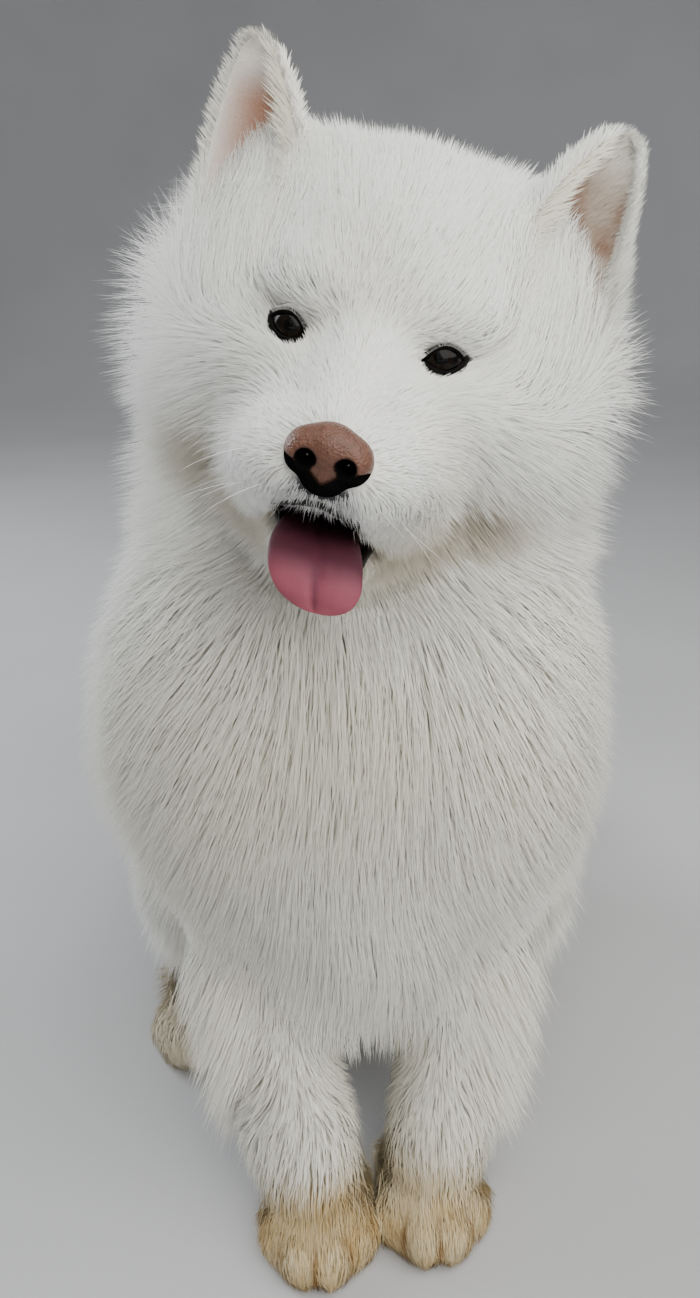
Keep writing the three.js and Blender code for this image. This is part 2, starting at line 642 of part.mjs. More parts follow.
// An ear: a shell open towards the front, through sections from its root to its tip. at is each section's
// middle, half its half width, back how far it bulges backward and cup how deep its front is hollowed.
const EAR_SECTIONS = [
  { at: [76, 54, 16], half: 34, back: 20, cup: 0 },
  { at: [78, 54, 34], half: 37, back: 22, cup: 5 },
  { at: [80, 55, 53], half: 37.5, back: 21, cup: 13 },
  { at: [83, 56, 72], half: 35, back: 19, cup: 13.5 },
  { at: [86, 57, 89], half: 30, back: 16, cup: 11 },
  { at: [89, 58, 103], half: 24.5, back: 13, cup: 7.5 },
  { at: [91.5, 58, 114], half: 18.5, back: 10, cup: 4.5 },
  { at: [93, 58, 122], half: 12.5, back: 8, cup: 2 },
  { at: [94, 58, 127], half: 6, back: 5, cup: 0.5 },
];
const EAR_TURN = 21; // degrees outward
const EAR_RIM = 5;
function ear(side, thicker = 0) {
  const turn = THREE.MathUtils.degToRad(EAR_TURN) * side;
  const across = new THREE.Vector3(Math.cos(turn), Math.sin(turn), 0);
  const up = new THREE.Vector3(Math.sin(turn), -Math.cos(turn), 0);
  const steps = 7;
  return onHead(
    loft(
      EAR_SECTIONS.map(({ at, half, back, cup }) => {
        const backArc = [];
        const frontArc = [];
        for (let i = 0; i <= steps; i++) {
          const a = (Math.PI * i) / steps;
          const inner = Math.max(half - EAR_RIM, half * 0.6);
          backArc.push([(half + thicker) * Math.cos(a), -(back + thicker) * Math.sin(a)]);
          frontArc.push([-inner * Math.cos(a), EAR_RIM - (cup + EAR_RIM) * Math.sin(a) + thicker]);
        }
        return { centre: vec(mirrored(at, side)), across, up, ring: [...backArc, ...frontArc] };
      }),
    ),
  );
}

// The tongue lies along the lower jaw and hangs over its front, with a groove down the middle
function tongue(thicker = 0) {
  const line = [
    { at: [0, -16, -82], width: 0.78, thick: 9 },
    { at: [1, -44, -86], width: 0.9, thick: 9 },
    { at: [3, -66, -88], width: 1, thick: 9 },
    { at: [5, -77, -93], width: 1, thick: 8.5 },
    { at: [7, -82, -101], width: 0.95, thick: 8 },
    { at: [9, -83, -109], width: 0.72, thick: 7 },
    { at: [10, -82, -114], width: 0.34, thick: 5 },
  ];
  const centres = line.map(({ at }) => vec(at));
  return onHead(
    loft(
      line.map(({ width, thick }, i) => {
        const along = centres[Math.min(i + 1, line.length - 1)].clone().sub(centres[Math.max(i - 1, 0)]).normalize();
        const across = new THREE.Vector3(1, 0, 0);
        const up = across.clone().cross(along).negate();
        const sides = 12;
        const ring = Array.from({ length: sides }, (_, k) => {
          const a = (2 * Math.PI * k) / sides;
          const groove = Math.exp(-((Math.cos(a) / 0.3) ** 2)) * (Math.sin(a) > 0 ? 0.45 : 0);
          return [
            Math.cos(a) * ((width * TONGUE_WIDTH) / 2 + thicker),
            Math.sin(a) * (thick / 2 + thicker) * (1 - groove),
          ];
        });
        return { centre: centres[i], across, up, ring };
      }),
    ),
  );
}

// The rim of one lip: a round bead along the mouth's edge from corner to corner, half sunk in the flesh
function lipBead(name, points, thicker = 0) {
  const whole = [...points, ...points.slice(0, -1).reverse().map((p) => mirrored(p, -1))];
  const path = new THREE.CatmullRomCurve3(whole.map((p) => settled(forms[name], vec(p), "dense")));
  const steps = 14;
  const ring = roundRing(LIP_RADIUS + thicker, 5);
  return onHead(
    loft(
      Array.from({ length: steps + 1 }, (_, i) => {
        const along = path.getTangentAt(i / steps);
        const across = along.clone().cross(new THREE.Vector3(0, 0, 1)).normalize();
        return { centre: path.getPointAt(i / steps), across, up: across.clone().cross(along), ring };
      }),
    ),
  );
}
const UPPER_LIP = [[34, 0, -74], [33, -24, -74], [29, -46, -73], [22, -68, -72], [11, -80, -70], [0, -82, -68]];
const LOWER_LIP = [[30, -2, -78], [26, -24, -88], [20, -42, -97], [12, -56, -104], [0, -60, -106]];

// The hollow of the open mouth, wedged between the lips, and narrower all round by gap
function mouthHollow(gap) {
  return onHead(
    loft(
      [
        { y: -2 - gap, halfWidth: 26, top: -76, bottom: -80 },
        { y: -40, halfWidth: 23, top: -72, bottom: -96 },
        { y: -62, halfWidth: 18, top: -68, bottom: -106 },
        { y: -100, halfWidth: 17, top: -70, bottom: -108 },
      ].map(({ y, halfWidth, top, bottom }) => ({
        centre: new THREE.Vector3(0, y, 0),
        across: new THREE.Vector3(1, 0, 0),
        up: new THREE.Vector3(0, 0, 1),
        ring: [
          [-halfWidth + gap, bottom + gap],
          [halfWidth - gap, bottom + gap],
          [halfWidth - gap, top - gap],
          [halfWidth * 0.5, top + 5 - gap],
          [-halfWidth * 0.5, top + 5 - gap],
          [-halfWidth + gap, top - gap],
        ],
      })),
    ),
  );
}

const box = (low, high) =>
  new THREE.BoxGeometry(high[0] - low[0], high[1] - low[1], high[2] - low[2]).translate(
    (low[0] + high[0]) / 2,
    (low[1] + high[1]) / 2,
    (low[2] + high[2]) / 2,
  );
const belowFloor = solidOf(box([-600, -600, -300], [600, 700, 0]));

const foundOnHead = (form, low, high, cell) => onHead(surfaceOf(form, "skin", low, high, cell));

// Each node: how its solid is made, with everything in it thicker by gap. A node is cut clear of those that
// come before it here.
const builders = {};
for (const [name, side] of Object.entries(SIDES))
  builders["eye_" + name] = (gap) => solidOf(eyeball(side, EYE_RADIUS + gap));
builders.head = (gap) => {
  const lids = Object.values(SIDES).map((side) => solidOf(eyeball(side, EYE_RADIUS + LID_THICKNESS + gap)));
  const openings = Object.values(SIDES).map((side) => solidOf(eyeOpening(side)));
  const skull = withLocks("head", onHead(flesh("head")), gap);
  const lip = solidOf(lipBead("head", UPPER_LIP, gap));
  return joined([skull, ...lids]).subtract(joined(openings)).subtract(solidOf(mouthHollow(gap))).add(lip);
};
for (const name of ["neck", "torso", "thigh_right", "thigh_left", "foreleg_right", "foreleg_left"])
  builders[name] = (gap) => coated(name, gap);
for (const name of ["forepaw_right", "forepaw_left", "hindfoot_right", "hindfoot_left"])
  builders[name] = (gap) => solidOf(grown(flesh(name), gap));
builders.tail = (gap) => coated("tail", gap);
builders.lower_jaw = (gap) => {
  const jaw = solidOf(grown(onHead(flesh("lower_jaw")), gap));
  return jaw.subtract(solidOf(mouthHollow(gap))).add(solidOf(lipBead("lower_jaw", LOWER_LIP, gap)));
};
for (const [name, side] of Object.entries(SIDES)) builders["ear_" + name] = (gap) => solidOf(ear(side, gap));
builders.nose = (gap) =>
  solidOf(grown(foundOnHead(noseForm(), [-26, -110, -70], [26, -62, -20], 5), gap))
    .subtract(nostril(SIDES.right))
    .subtract(nostril(SIDES.left));
builders.tongue = (gap) => solidOf(tongue(gap));

// Colours, roughness and sheen of the coat, leather and wet parts
const MATERIALS = {
  coat: new THREE.MeshStandardMaterial({ color: 0xe9e6de, roughness: 0.9 }),
  biscuit: new THREE.MeshStandardMaterial({ color: 0xd8c39c, roughness: 0.9 }),
  ear: new THREE.MeshStandardMaterial({ color: 0xe4dccb, roughness: 0.9 }),
  leather: new THREE.MeshStandardMaterial({ color: 0x7a5347, roughness: 0.45 }),
  eye: new THREE.MeshStandardMaterial({ color: 0x140f0c, roughness: 0.08 }),
  tongue: new THREE.MeshStandardMaterial({ color: 0xc4627a, roughness: 0.4 }),
};
const materialOf = (name) =>
  name.startsWith("eye") ? MATERIALS.eye
  : name.startsWith("ear") ? MATERIALS.ear
  : name === "nose" ? MATERIALS.leather
  : name === "tongue" ? MATERIALS.tongue
  : /paw|foot/.test(name) ? MATERIALS.biscuit
  : MATERIALS.coat;

const dog = new THREE.Group();
const placed = [];
for (const [name, build] of Object.entries(builders)) {
  const solid = build(0);
  const free = placed.reduce((rest, other) => rest.subtract(other), solid.subtract(belowFloor));
  placed.push(solid.add(build(GAP)));
  const mesh = new THREE.Mesh(parted(geometryOf(largest(free.setTolerance(SHORTEST_EDGE)))), materialOf(name));
  mesh.name = name;
  dog.add(mesh);
}

// The origin is in the middle of the dog's box, on the floor
const whole = new THREE.Box3().setFromObject(dog);
const middle = whole.getCenter(new THREE.Vector3());
for (const mesh of dog.children) mesh.geometry.translate(-middle.x, -middle.y, -whole.min.z);

export default dog;
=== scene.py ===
"""A life-size sitting samoyed: one skin with a coat of fine mesh tufts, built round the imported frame."""

import math

import bpy
import numpy as np
from mathutils import Matrix, Vector, kdtree


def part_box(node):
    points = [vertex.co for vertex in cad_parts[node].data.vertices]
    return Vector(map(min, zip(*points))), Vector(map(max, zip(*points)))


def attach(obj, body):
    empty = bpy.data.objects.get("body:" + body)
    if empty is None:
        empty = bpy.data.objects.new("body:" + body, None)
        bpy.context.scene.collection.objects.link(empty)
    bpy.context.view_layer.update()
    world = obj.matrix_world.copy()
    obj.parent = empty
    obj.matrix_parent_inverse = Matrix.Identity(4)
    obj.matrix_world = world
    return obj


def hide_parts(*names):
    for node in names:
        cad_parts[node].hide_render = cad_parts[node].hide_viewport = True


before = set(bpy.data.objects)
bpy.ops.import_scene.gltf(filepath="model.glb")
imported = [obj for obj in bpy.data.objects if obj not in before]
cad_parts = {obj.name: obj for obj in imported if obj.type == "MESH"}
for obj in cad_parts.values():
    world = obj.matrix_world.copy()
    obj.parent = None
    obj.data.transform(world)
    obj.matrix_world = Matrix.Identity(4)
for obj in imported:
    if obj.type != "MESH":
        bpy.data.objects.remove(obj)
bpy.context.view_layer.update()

MM = 0.001
SEED = 7
RIGHT, LEFT = -1, 1
SIDES = {"right": RIGHT, "left": LEFT}
SIDE_NAME = {RIGHT: "right", LEFT: "left"}
FAR = 400.0  # farther from any surface than the blending reaches, in millimetres
FLESH = ["head", "neck", "torso", "thigh_right", "thigh_left", "foreleg_right", "foreleg_left"]
FLESH += ["forepaw_right", "forepaw_left", "hindfoot_right", "hindfoot_left", "tail", "lower_jaw"]
FLESH += ["ear_right", "ear_left"]

# The dog's own frame, in millimetres: it looks along -Y, its left is at +X and the floor is at z 0.
# The head has a frame of its own between the eyes.
HEAD_AT = (14.6, -145, 581)
HEAD_TURN = (-4.3, 15.8, -5.8)
EYE_SPACING, EYE_DEPTH, EYE_HEIGHT, EYE_RADIUS = 74, 12, 1.0, 12.5


def turned(degrees, order):
    """A rotation matrix made of turns about x, y and z, multiplied in the order given."""
    made = np.eye(3)
    for axis in order:
        made = made @ np.array(Matrix.Rotation(math.radians(degrees["XYZ".index(axis)]), 3, axis))
    return made


HEAD_AXES = turned(HEAD_TURN, "ZXY")


def to_head(p):
    return (p - HEAD_AT) @ HEAD_AXES


def from_head(q):
    return np.asarray(q, float) @ HEAD_AXES.T + HEAD_AT


def part_shift():
    """Where the dog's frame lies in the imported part, found from the two eyes."""
    boxes = [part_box("eye_" + name) for name in SIDES]
    middle = sum((low + high for low, high in boxes), Vector()) / 4
    return np.array(middle) / MM - from_head((0, EYE_DEPTH, 0))


SHIFT = part_shift()
SHIFT[2] = 0


def smooth_min(a, b, k):
    """The lower of two distances, with the corner between them rounded over a width of k."""
    return np.minimum(a, b) - k / 4 * np.maximum(1 - np.abs(a - b) / k, 0) ** 2


def smoothstep(x, low, high):
    t = np.clip((x - low) / (high - low), 0, 1)
    return t * t * (3 - 2 * t)


def unit(v):
    return v / np.maximum(np.linalg.norm(v, axis=-1, keepdims=True), 1e-9)


def stacked(x, y, z):
    """Points or directions from three rows of numbers, any of which may be one number for all."""
    return np.stack(np.broadcast_arrays(x, y, z), -1)


def folded(p):
    """Points with those of the right side laid over onto the left."""
    return stacked(np.abs(p[..., 0]), p[..., 1], p[..., 2])


# Simple forms. Each is a function of points and of how thick a coat is laid on it, with the box it fills.
def ball(centre, radii, turn=(0, 0, 0)):
    axes = turned(turn, "ZYX")
    centre = np.array(centre, float)
    radii = np.array(radii, float)

    def distance(p, thicker=0.0):
        q = (p - centre) @ axes
        r = radii + np.asarray(thicker)[..., None]
        near = np.linalg.norm(q / r, axis=-1)
        slope = np.linalg.norm(q / r**2, axis=-1)
        return near * (near - 1) / np.maximum(slope, 1e-6)

    reach = np.abs(axes) @ radii
    return distance, centre - reach, centre + reach


def limb(start, r0, end, r1):
    a, b = np.array(start, float), np.array(end, float)
    along = b - a

    def distance(p, thicker=0.0):
        t = np.clip((p - a) @ along / (along @ along), 0, 1)
        radius = r0 + (r1 - r0) * t
        return np.linalg.norm(p - a - t[..., None] * along, axis=-1) - radius - thicker

    return distance, np.minimum(a - r0, b - r1), np.maximum(a + r0, b + r1)


def both(make):
    """The pieces of the right side and those of the left, from a function of the side."""
    return [piece for side in SIDES.values() for piece in make(side)]


# The body: pieces are (form, depth of the coat out to its tips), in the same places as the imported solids
FOREPAWS = {RIGHT: (-33, -163, -4), LEFT: (42, -150, 5)}
HINDPAWS = {RIGHT: (-134, 24, -14), LEFT: (97, 52, 6)}
TOES = [(-24, -15), (-9, -29), (9, -29), (24, -15)]
TAIL_LINE = [(0, 262, 62), (22, 330, 56), (68, 376, 52), (122, 378, 50), (158, 346, 48)]


def paw(x, y, turn):
    """A paw and its four toes, set down at x and y and turned out by degrees."""
    c, s = math.cos(math.radians(turn)), math.sin(math.radians(turn))

    def at(px, py, pz):
        return (x + c * px - s * py, y + s * px + c * py, pz)

    toes = [(ball(at(tx, ty, 14.5), (10.5, 14, 13.5), (0, 0, turn)), 4) for tx, ty in TOES]
    return [(ball(at(0, 8, 21), (25, 30, 19), (0, 0, turn)), 6), *toes]


def forepaw(s):
    x, y, turn = FOREPAWS[s]
    return [(limb((x + 12 * s, y + 26, 70), 24, (x + 3 * s, y + 12, 34), 25), 12), *paw(x, y, turn)]


def hindfoot(s):
    x, y, turn = HINDPAWS[s]
    return [(limb((112 * s, 150, 34), 24, (x, y + 20, 30), 24), 12), *paw(x, y, turn)]


def foreleg(s):
    x, y, _ = FOREPAWS[s]
    return [(limb((78 * s, -72, 246), 36, (x + 12 * s, y + 26, 66), 24), 17)]


TORSO = [
    (ball((0, -38, 338), (96, 90, 128)), 54),
    (ball((0, -72, 214), (58, 52, 66)), 40),
    (ball((0, 22, 402), (70, 76, 80)), 48),
    (ball((0, 62, 292), (97, 108, 112), (-30, 0, 0)), 46),
    (ball((0, 132, 212), (86, 92, 96), (-30, 0, 0)), 46),
    (ball((0, 186, 132), (86, 78, 92)), 50),
    *both(lambda s: [(ball((74 * s, -55, 344), (42, 58, 100)), 46)]),
]
NECK = [(limb((10, -8, 436), 76, (13, -82, 550), 66), 77)]
RUFF_DOME = (ball((0, 174, -60), (134, 134, 134)), 50)
THIGHS = both(
    lambda s: [
        (limb((62 * s, 186, 138), 76, (94 * s, 62, 158), 50), 38),
        (limb((96 * s, 58, 140), 44, (106 * s, 140, 62), 34), 34),
    ]
)
TAIL = [
    (limb(TAIL_LINE[i], 27 - 4 * i, TAIL_LINE[i + 1], 23 - 4 * i), 36) for i in range(len(TAIL_LINE) - 1)
]
HEAD = [
    (ball((0, 72, 24), (64, 62, 56)), 22),
    (ball((0, 58, -18), (54, 58, 46)), 14),
    (limb((0, 12, -12), 25, (0, -66, -42), 15), 5),
    (limb((0, 0, -44), 31, (0, -58, -52), 21), 6),
    *both(
        lambda s: [
            (ball((42 * s, 82, 44), (26, 32, 27)), 22),
            (ball((26 * s, 22, 19), (25, 18, 14)), 8),
            (ball((35 * s, 19, -21), (24, 22, 18)), 10),
            (ball((27 * s, 4, -44), (20, 34, 24)), 8),
            (ball((50 * s, 54, -22), (30, 38, 38)), 58),
            (ball((17 * s, -57, -56), (19, 25, 18)), 10),
            (ball((28 * s, -34, -57), (15, 26, 17)), 10),
            (ball((33 * s, -10, -65), (13, 24, 15)), 9),
        ]
    ),
]
JAW = [
    *both(lambda s: [(limb((22 * s, 30, -74), 18, (6 + 5 * s, -47, -105), 11), 6)]),
    (ball((0, 8, -92), (22, 40, 14), (-20, 0, 0)), 8),
]

COARSE, FINE = 5, 2.5  # steps of the grid away from the face and over it, in millimetres
MARGIN = 40  # how far outside its own box a piece still counts


def grid_line(low, high, fine_low, fine_high):
    spans = [(low, fine_low, COARSE), (fine_low, fine_high, FINE), (fine_high, high, COARSE)]
    return np.concatenate([np.arange(*span) for span in spans])


LINES = [
    grid_line(-262, 262, -95, 125),
    grid_line(-310, 450, -262, -60),
    grid_line(-12, 770, 470, 690),
]
SHAPE = tuple(len(line) for line in LINES)


def window(low, high):
    """The slices of the grid that hold a box."""
    found = []
    for line, a, b in zip(LINES, low, high):
        i, j = np.searchsorted(line, [a, b])
        found.append(slice(max(i - 1, 0), min(j + 1, len(line))))
    return tuple(found)


def head_window(low, high):
    """The slices of the grid that hold a box of the head's frame."""
    corners = [[x, y, z] for x in (low[0], high[0]) for y in (low[1], high[1]) for z in (low[2], high[2])]
    corners = from_head(corners)
    return window(corners.min(0), corners.max(0))


def points_in(part):
    mesh = np.meshgrid(*(line[s] for line, s in zip(LINES, part)), indexing="ij")
    return np.stack(mesh, axis=-1).astype(np.float32)


def blended(pieces, softness, share, head=False, within=None):
    """Smooth union of pieces with a share of their coat, worked out near them only."""
    own = np.full(SHAPE, FAR, np.float32)
    for (form, low, high), coat in pieces:
        low, high = low - MARGIN - coat, high + MARGIN + coat
        part = head_window(low, high) if head else window(low, high)
        p = points_in(part)
        p = to_head(p) if head else p
        thickness = share * coat
        if head:
            thickness = thickness * (0.35 + 0.65 * smoothstep(p[..., 1], 8, 82))
        else:
            thickness = np.full(p.shape[:-1], thickness)
        own[part] = smooth_min(own[part], form(p, thickness), softness)
    if within is not None:
        (form, _, _), coat = within
        part = window((-190, -290, 200), (210, 180, 770))
        p = points_in(part)
        dome = form(to_head(p), np.full(p.shape[:-1], share * coat))
        own[part] = -smooth_min(-own[part], -dome, 36)
    return own


def whole_body(share, softness):
    """Distance from the whole body's surface with a share of its coat, on the grid."""
    groups = [
        blended(TORSO, 50, share),
        blended(NECK, 50, share, within=RUFF_DOME),
        blended(HEAD, 16, share, head=True),
        blended(JAW, 14, share, head=True),
        blended(THIGHS, 50, share),
        blended(TAIL, 30, share),
        blended(both(foreleg), 24, share),
        blended(both(forepaw), 8, share),
        blended(both(hindfoot), 8, share),
    ]
    made = groups[0]
    for group in groups[1:]:
        made = smooth_min(made, group, softness)
    return made


def sampler(*grids):
    """A function that reads grids between their points."""
    stack = np.stack(grids, axis=-1).astype(np.float32)

    def read(p):
        index, share = [], []
        for axis, line in enumerate(LINES):
            i = np.clip(np.searchsorted(line, p[:, axis]) - 1, 0, len(line) - 2)
            index.append(i)
            share.append(np.clip((p[:, axis] - line[i]) / (line[i + 1] - line[i]), 0, 1)[:, None])
        found = 0
        for corner in range(8):
            step = [(corner >> axis) & 1 for axis in range(3)]
            weight = 1
            for s, on in zip(share, step):
                weight = weight * (s if on else 1 - s)
            found = found + weight * stack[tuple(i + on for i, on in zip(index, step))]
        return found

    return read


def with_slope(values):
    return sampler(values, *np.gradient(values, *LINES))


def beside(cells, axis, du, dv):
    """The cells one step lower along the axes that follow the given one."""
    cell = cells.copy()
    cell[:, (axis + 1) % 3] -= du
    cell[:, (axis + 2) % 3] -= dv
    return cell


def surface(values, lines, project=None):
    """Surface nets: one vertex in each cell that the surface crosses, joined into quads."""
    inside = values < 0
    nx, ny, nz = values.shape
    total = np.zeros((nx - 1, ny - 1, nz - 1, 3))
    count = np.zeros((nx - 1, ny - 1, nz - 1))
    crossings = []
    for axis in range(3):
        a = [slice(None)] * 3
        b = [slice(None)] * 3
        a[axis], b[axis] = slice(None, -1), slice(1, None)
        va, vb = values[tuple(a)], values[tuple(b)]
        cells = np.argwhere(inside[tuple(a)] != inside[tuple(b)])
        start = va[tuple(cells.T)]
        share = start / (start - vb[tuple(cells.T)])
        place = np.stack([line[cells[:, k]] for k, line in enumerate(lines)], axis=-1)
        line = lines[axis]
        place[:, axis] += share * (line[cells[:, axis] + 1] - line[cells[:, axis]])
        crossings.append((axis, cells, inside[tuple(a)][tuple(cells.T)]))
        for du in (0, 1):
            for dv in (0, 1):
                cell = beside(cells, axis, du, dv)
                good = ((cell >= 0) & (cell < np.array(total.shape[:3]))).all(1)
                np.add.at(total, tuple(cell[good].T), place[good])
                np.add.at(count, tuple(cell[good].T), 1)
    used = np.argwhere(count > 0)
    number = np.full(count.shape, -1)
    number[tuple(used.T)] = np.arange(len(used))
    points = total[tuple(used.T)] / count[tuple(used.T)][:, None]
    faces = []
    for axis, cells, starts_inside in crossings:
        corners = []
        for du, dv in ((0, 0), (1, 0), (1, 1), (0, 1)):
            cell = beside(cells, axis, du, dv)
            corners.append(number[tuple(np.clip(cell, 0, np.array(count.shape) - 1).T)])
        quads = np.stack(corners, axis=-1)
        quads[~starts_inside] = quads[~starts_inside][:, ::-1]
        faces.append(quads)
    faces = np.concatenate(faces)
    if project is not None:
        for _ in range(2):
            found = project(points)
            slope = found[:, 1:4]
            points = points - found[:, :1] * slope / np.maximum((slope**2).sum(1, keepdims=True), 0.2)
    return points, faces


def placed(name, data):
    made = bpy.data.objects.new(name, data)
    bpy.context.scene.collection.objects.link(made)
    return made


def mesh_object(name, points, faces, shift=True):
    """A mesh object from points in millimetres in the dog's frame."""
    mesh = bpy.data.meshes.new(name)
    place = (np.asarray(points) + (SHIFT if shift else 0)) * MM
    faces = np.asarray(faces)
    mesh.vertices.add(len(place))
    mesh.vertices.foreach_set("co", place.astype(np.float32).ravel())
    mesh.loops.add(faces.size)
    mesh.loops.foreach_set("vertex_index", faces.astype(np.int32).ravel())
    mesh.polygons.add(len(faces))
    mesh.polygons.foreach_set("loop_start", np.arange(0, faces.size, faces.shape[1], dtype=np.int32))
    mesh.polygons.foreach_set("use_smooth", np.full(len(faces), True))
    mesh.update(calc_edges=True)
    mesh.validate()
    return placed(name, mesh)


# The open mouth: a wedge between the lips, wider towards its back and taller towards its front
MOUTH = {
    "y": (-100, -62, -40, -2),
    "wide": (17, 18, 23, 26),
    "top": (-70, -68, -72, -76),
    "low": (-108, -106, -96, -80),
}


def mouth_distance(q):
    y = q[..., 1]
    wide, top, low = (np.interp(y, MOUTH["y"], MOUTH[name]) for name in ("wide", "top", "low"))
    sides = np.maximum(np.abs(q[..., 0]) - wide, np.maximum(q[..., 2] - top, low - q[..., 2]))
    return np.maximum(sides, np.maximum(y + 2, -120 - y))


# The crease under the flews, from the corner of the mouth up the cheek, with how wide it is
CREASE = [(31, -14, -82, 4.5), (39, 4, -79, 4.5), (46, 16, -70, 4), (53, 26, -57, 3), (58, 36, -44, 1.5)]


def crease_distance(q):
    """Distance from the crease on both cheeks, less its own radius."""
    rows = [limb(a[:3], a[3], b[:3], b[3])[0](folded(q)) for a, b in zip(CREASE, CREASE[1:])]
    return np.min(rows, axis=0)


def with_mouth(values):
    """Hollows the open mouth out of the grid."""
    part = head_window((-40, -125, -120), (40, 10, -55))
    hollow = mouth_distance(to_head(points_in(part)))
    values[part] = -smooth_min(-values[part], hollow, 4)
    return values


skin_grid = whole_body(0.0, 14)
tips_grid = whole_body(1.0, 30)
smooth_skin_at = with_slope(skin_grid.copy())
skin_at = with_slope(with_mouth(skin_grid))
tips_at = with_slope(tips_grid)
body_points, body_quads = surface(skin_grid, LINES, skin_at)


def spline(points, count):
    """A smooth curve through rows of numbers, cut into count even steps of its parameter."""
    points = np.asarray(points, float)
    ends = np.concatenate([2 * points[:1] - points[1:2], points, 2 * points[-1:] - points[-2:-1]])
    t = np.linspace(0, len(points) - 1, count)
    i = np.clip(t.astype(int), 0, len(points) - 2)
    u = (t - i)[:, None]
    a, b, c, d = (ends[i + k] for k in range(4))
    return 0.5 * (2 * b + (c - a) * u + (2 * a - 5 * b + 4 * c - d) * u**2 + (3 * b - a - 3 * c + d) * u**3)


def tube_quads(rings, sides):
    """Quads that join rings of points, numbered ring by ring."""
    k = np.arange(sides)
    on = (k + 1) % sides
    first = np.stack([k, on, on + sides, k + sides], -1)
    return np.concatenate([first + r * sides for r in range(rings - 1)])


# The ears: a cupped shell through sections from root to tip, in the head's frame for the left ear.
# Columns: middle x, y, z, half width, bulge of the back and depth of the cup.
EAR = [
    (76, 54, 16, 31, 17, 0),
    (78, 54, 34, 34, 19, 2),
    (80, 55, 53, 34.5, 18, 8),
    (83, 56, 72, 31.5, 16, 9),
    (86, 57, 89, 26.5, 13, 6.5),
    (88.6, 58, 103, 21.5, 10, 4),
    (90.6, 58, 113, 16.5, 7.5, 2.5),
    (92, 58, 120, 12.5, 5, 2),
    (92.8, 58, 124.5, 5, 2.5, 1),
]
EAR_RINGS, EAR_ARC = 26, 14


def ear_shell(side):
    """Points and quads of one ear, with how high up each point is and whether it is in the cup."""
    turn = math.radians(21) * side
    across = np.array([math.cos(turn), math.sin(turn), 0])
    forward = np.array([math.sin(turn), -math.cos(turn), 0])
    a = np.linspace(0, math.pi, EAR_ARC)
    rings, height, cupped = [], [], []
    for k, (x, y, z, half, back, cup) in enumerate(spline(EAR, EAR_RINGS)):
        inner = max(half - 4, half * 0.65)
        rear = np.stack([half * np.cos(a), -back * np.sin(a)], -1)
        front = np.stack([-inner * np.cos(a), 3 - (cup + 3) * np.sin(a)], -1)
        offsets = np.concatenate([rear, front])
        centre = np.array([x * side, y, z])
        rings.append(centre + offsets[:, :1] * across + offsets[:, 1:] * forward)
        height += [k / (EAR_RINGS - 1)] * (2 * EAR_ARC)
        cupped += [0] * EAR_ARC + list(np.sin(a))
    quads = tube_quads(EAR_RINGS, 2 * EAR_ARC)
    if side == RIGHT:
        quads = quads[:, ::-1]
    return from_head(np.concatenate(rings)), quads, np.array(height), np.array(cupped)


ears = {side: ear_shell(side) for side in SIDES.values()}
skin_points = np.concatenate([body_points] + [ears[s][0] for s in ears])
skin_quads = [body_quads]
first_of = {}
count = len(body_points)
for s in ears:
    first_of[s] = sum(len(q) for q in skin_quads)
    skin_quads.append(ears[s][1] + count)
    count += len(ears[s][0])
skin_quads = np.concatenate(skin_quads)
skin = mesh_object("skin", skin_points, skin_quads)


def unwrapped(obj):
    """Unwraps a mesh into a map, on which each tuft of the coat later gets a small patch at its root's
    place.
    """
    obj.data.uv_layers.new(name="OFBake")
    bpy.context.view_layer.objects.active = obj
    obj.select_set(True)
    bpy.ops.object.mode_set(mode="EDIT")
    bpy.ops.mesh.select_all(action="SELECT")
    bpy.ops.uv.smart_project(angle_limit=math.radians(70), island_margin=0.002)
    bpy.ops.object.mode_set(mode="OBJECT")
    obj.select_set(False)
    uv = np.empty(len(obj.data.loops) * 2, np.float32)
    obj.data.uv_layers["OFBake"].data.foreach_get("uv", uv)
    return uv.reshape(-1, 4, 2)


skin_uv = unwrapped(skin)
random = np.random.default_rng(SEED)  # every draw for the coat comes from here, in order


TABLE = 32  # values along each side of a noise, which then repeats


def soft_noise(p, size, seed):
    """Smooth random values from -1 to 1 that change over a length of size."""
    table = np.random.default_rng(seed).uniform(-1, 1, (TABLE,) * 3).astype(np.float32)
    q = np.asarray(p) / size
    base = np.floor(q).astype(int)
    t = q - base
    t = t * t * (3 - 2 * t)
    found = 0
    for corner in range(8):
        step = np.array([(corner >> axis) & 1 for axis in range(3)])
        i = (base + step) % TABLE
        found = found + np.prod(np.where(step, t, 1 - t), axis=-1) * table[i[..., 0], i[..., 1], i[..., 2]]
    return found


def nearest_form(pieces, points):
    return np.min([form(points) for (form, _, _), _ in pieces], axis=0)


def zones(p):
    """How much each part of the body counts at points, as weights that add up to one."""
    q = to_head(p)
    parts = {
        "torso": nearest_form(TORSO, p),
        "neck": nearest_form(NECK, p),
        "head": nearest_form(HEAD, q),
        "jaw": nearest_form(JAW, q),
        "thigh": nearest_form(THIGHS, p),
        "tail": nearest_form(TAIL, p),
        "leg": nearest_form(both(foreleg), p),
        "forepaw": nearest_form(both(forepaw), p),
        "hindfoot": nearest_form(both(hindfoot), p),
    }
    weight = {name: np.exp(-np.clip(d, -20, 60) / 7) for name, d in parts.items()}
    whole = sum(weight.values())
    return {name: w / whole for name, w in weight.items()}


def flat_on(way, normal):
    """A direction laid flat on the surface with the given normal."""
    return unit(way - (way * normal).sum(-1, keepdims=True) * normal)


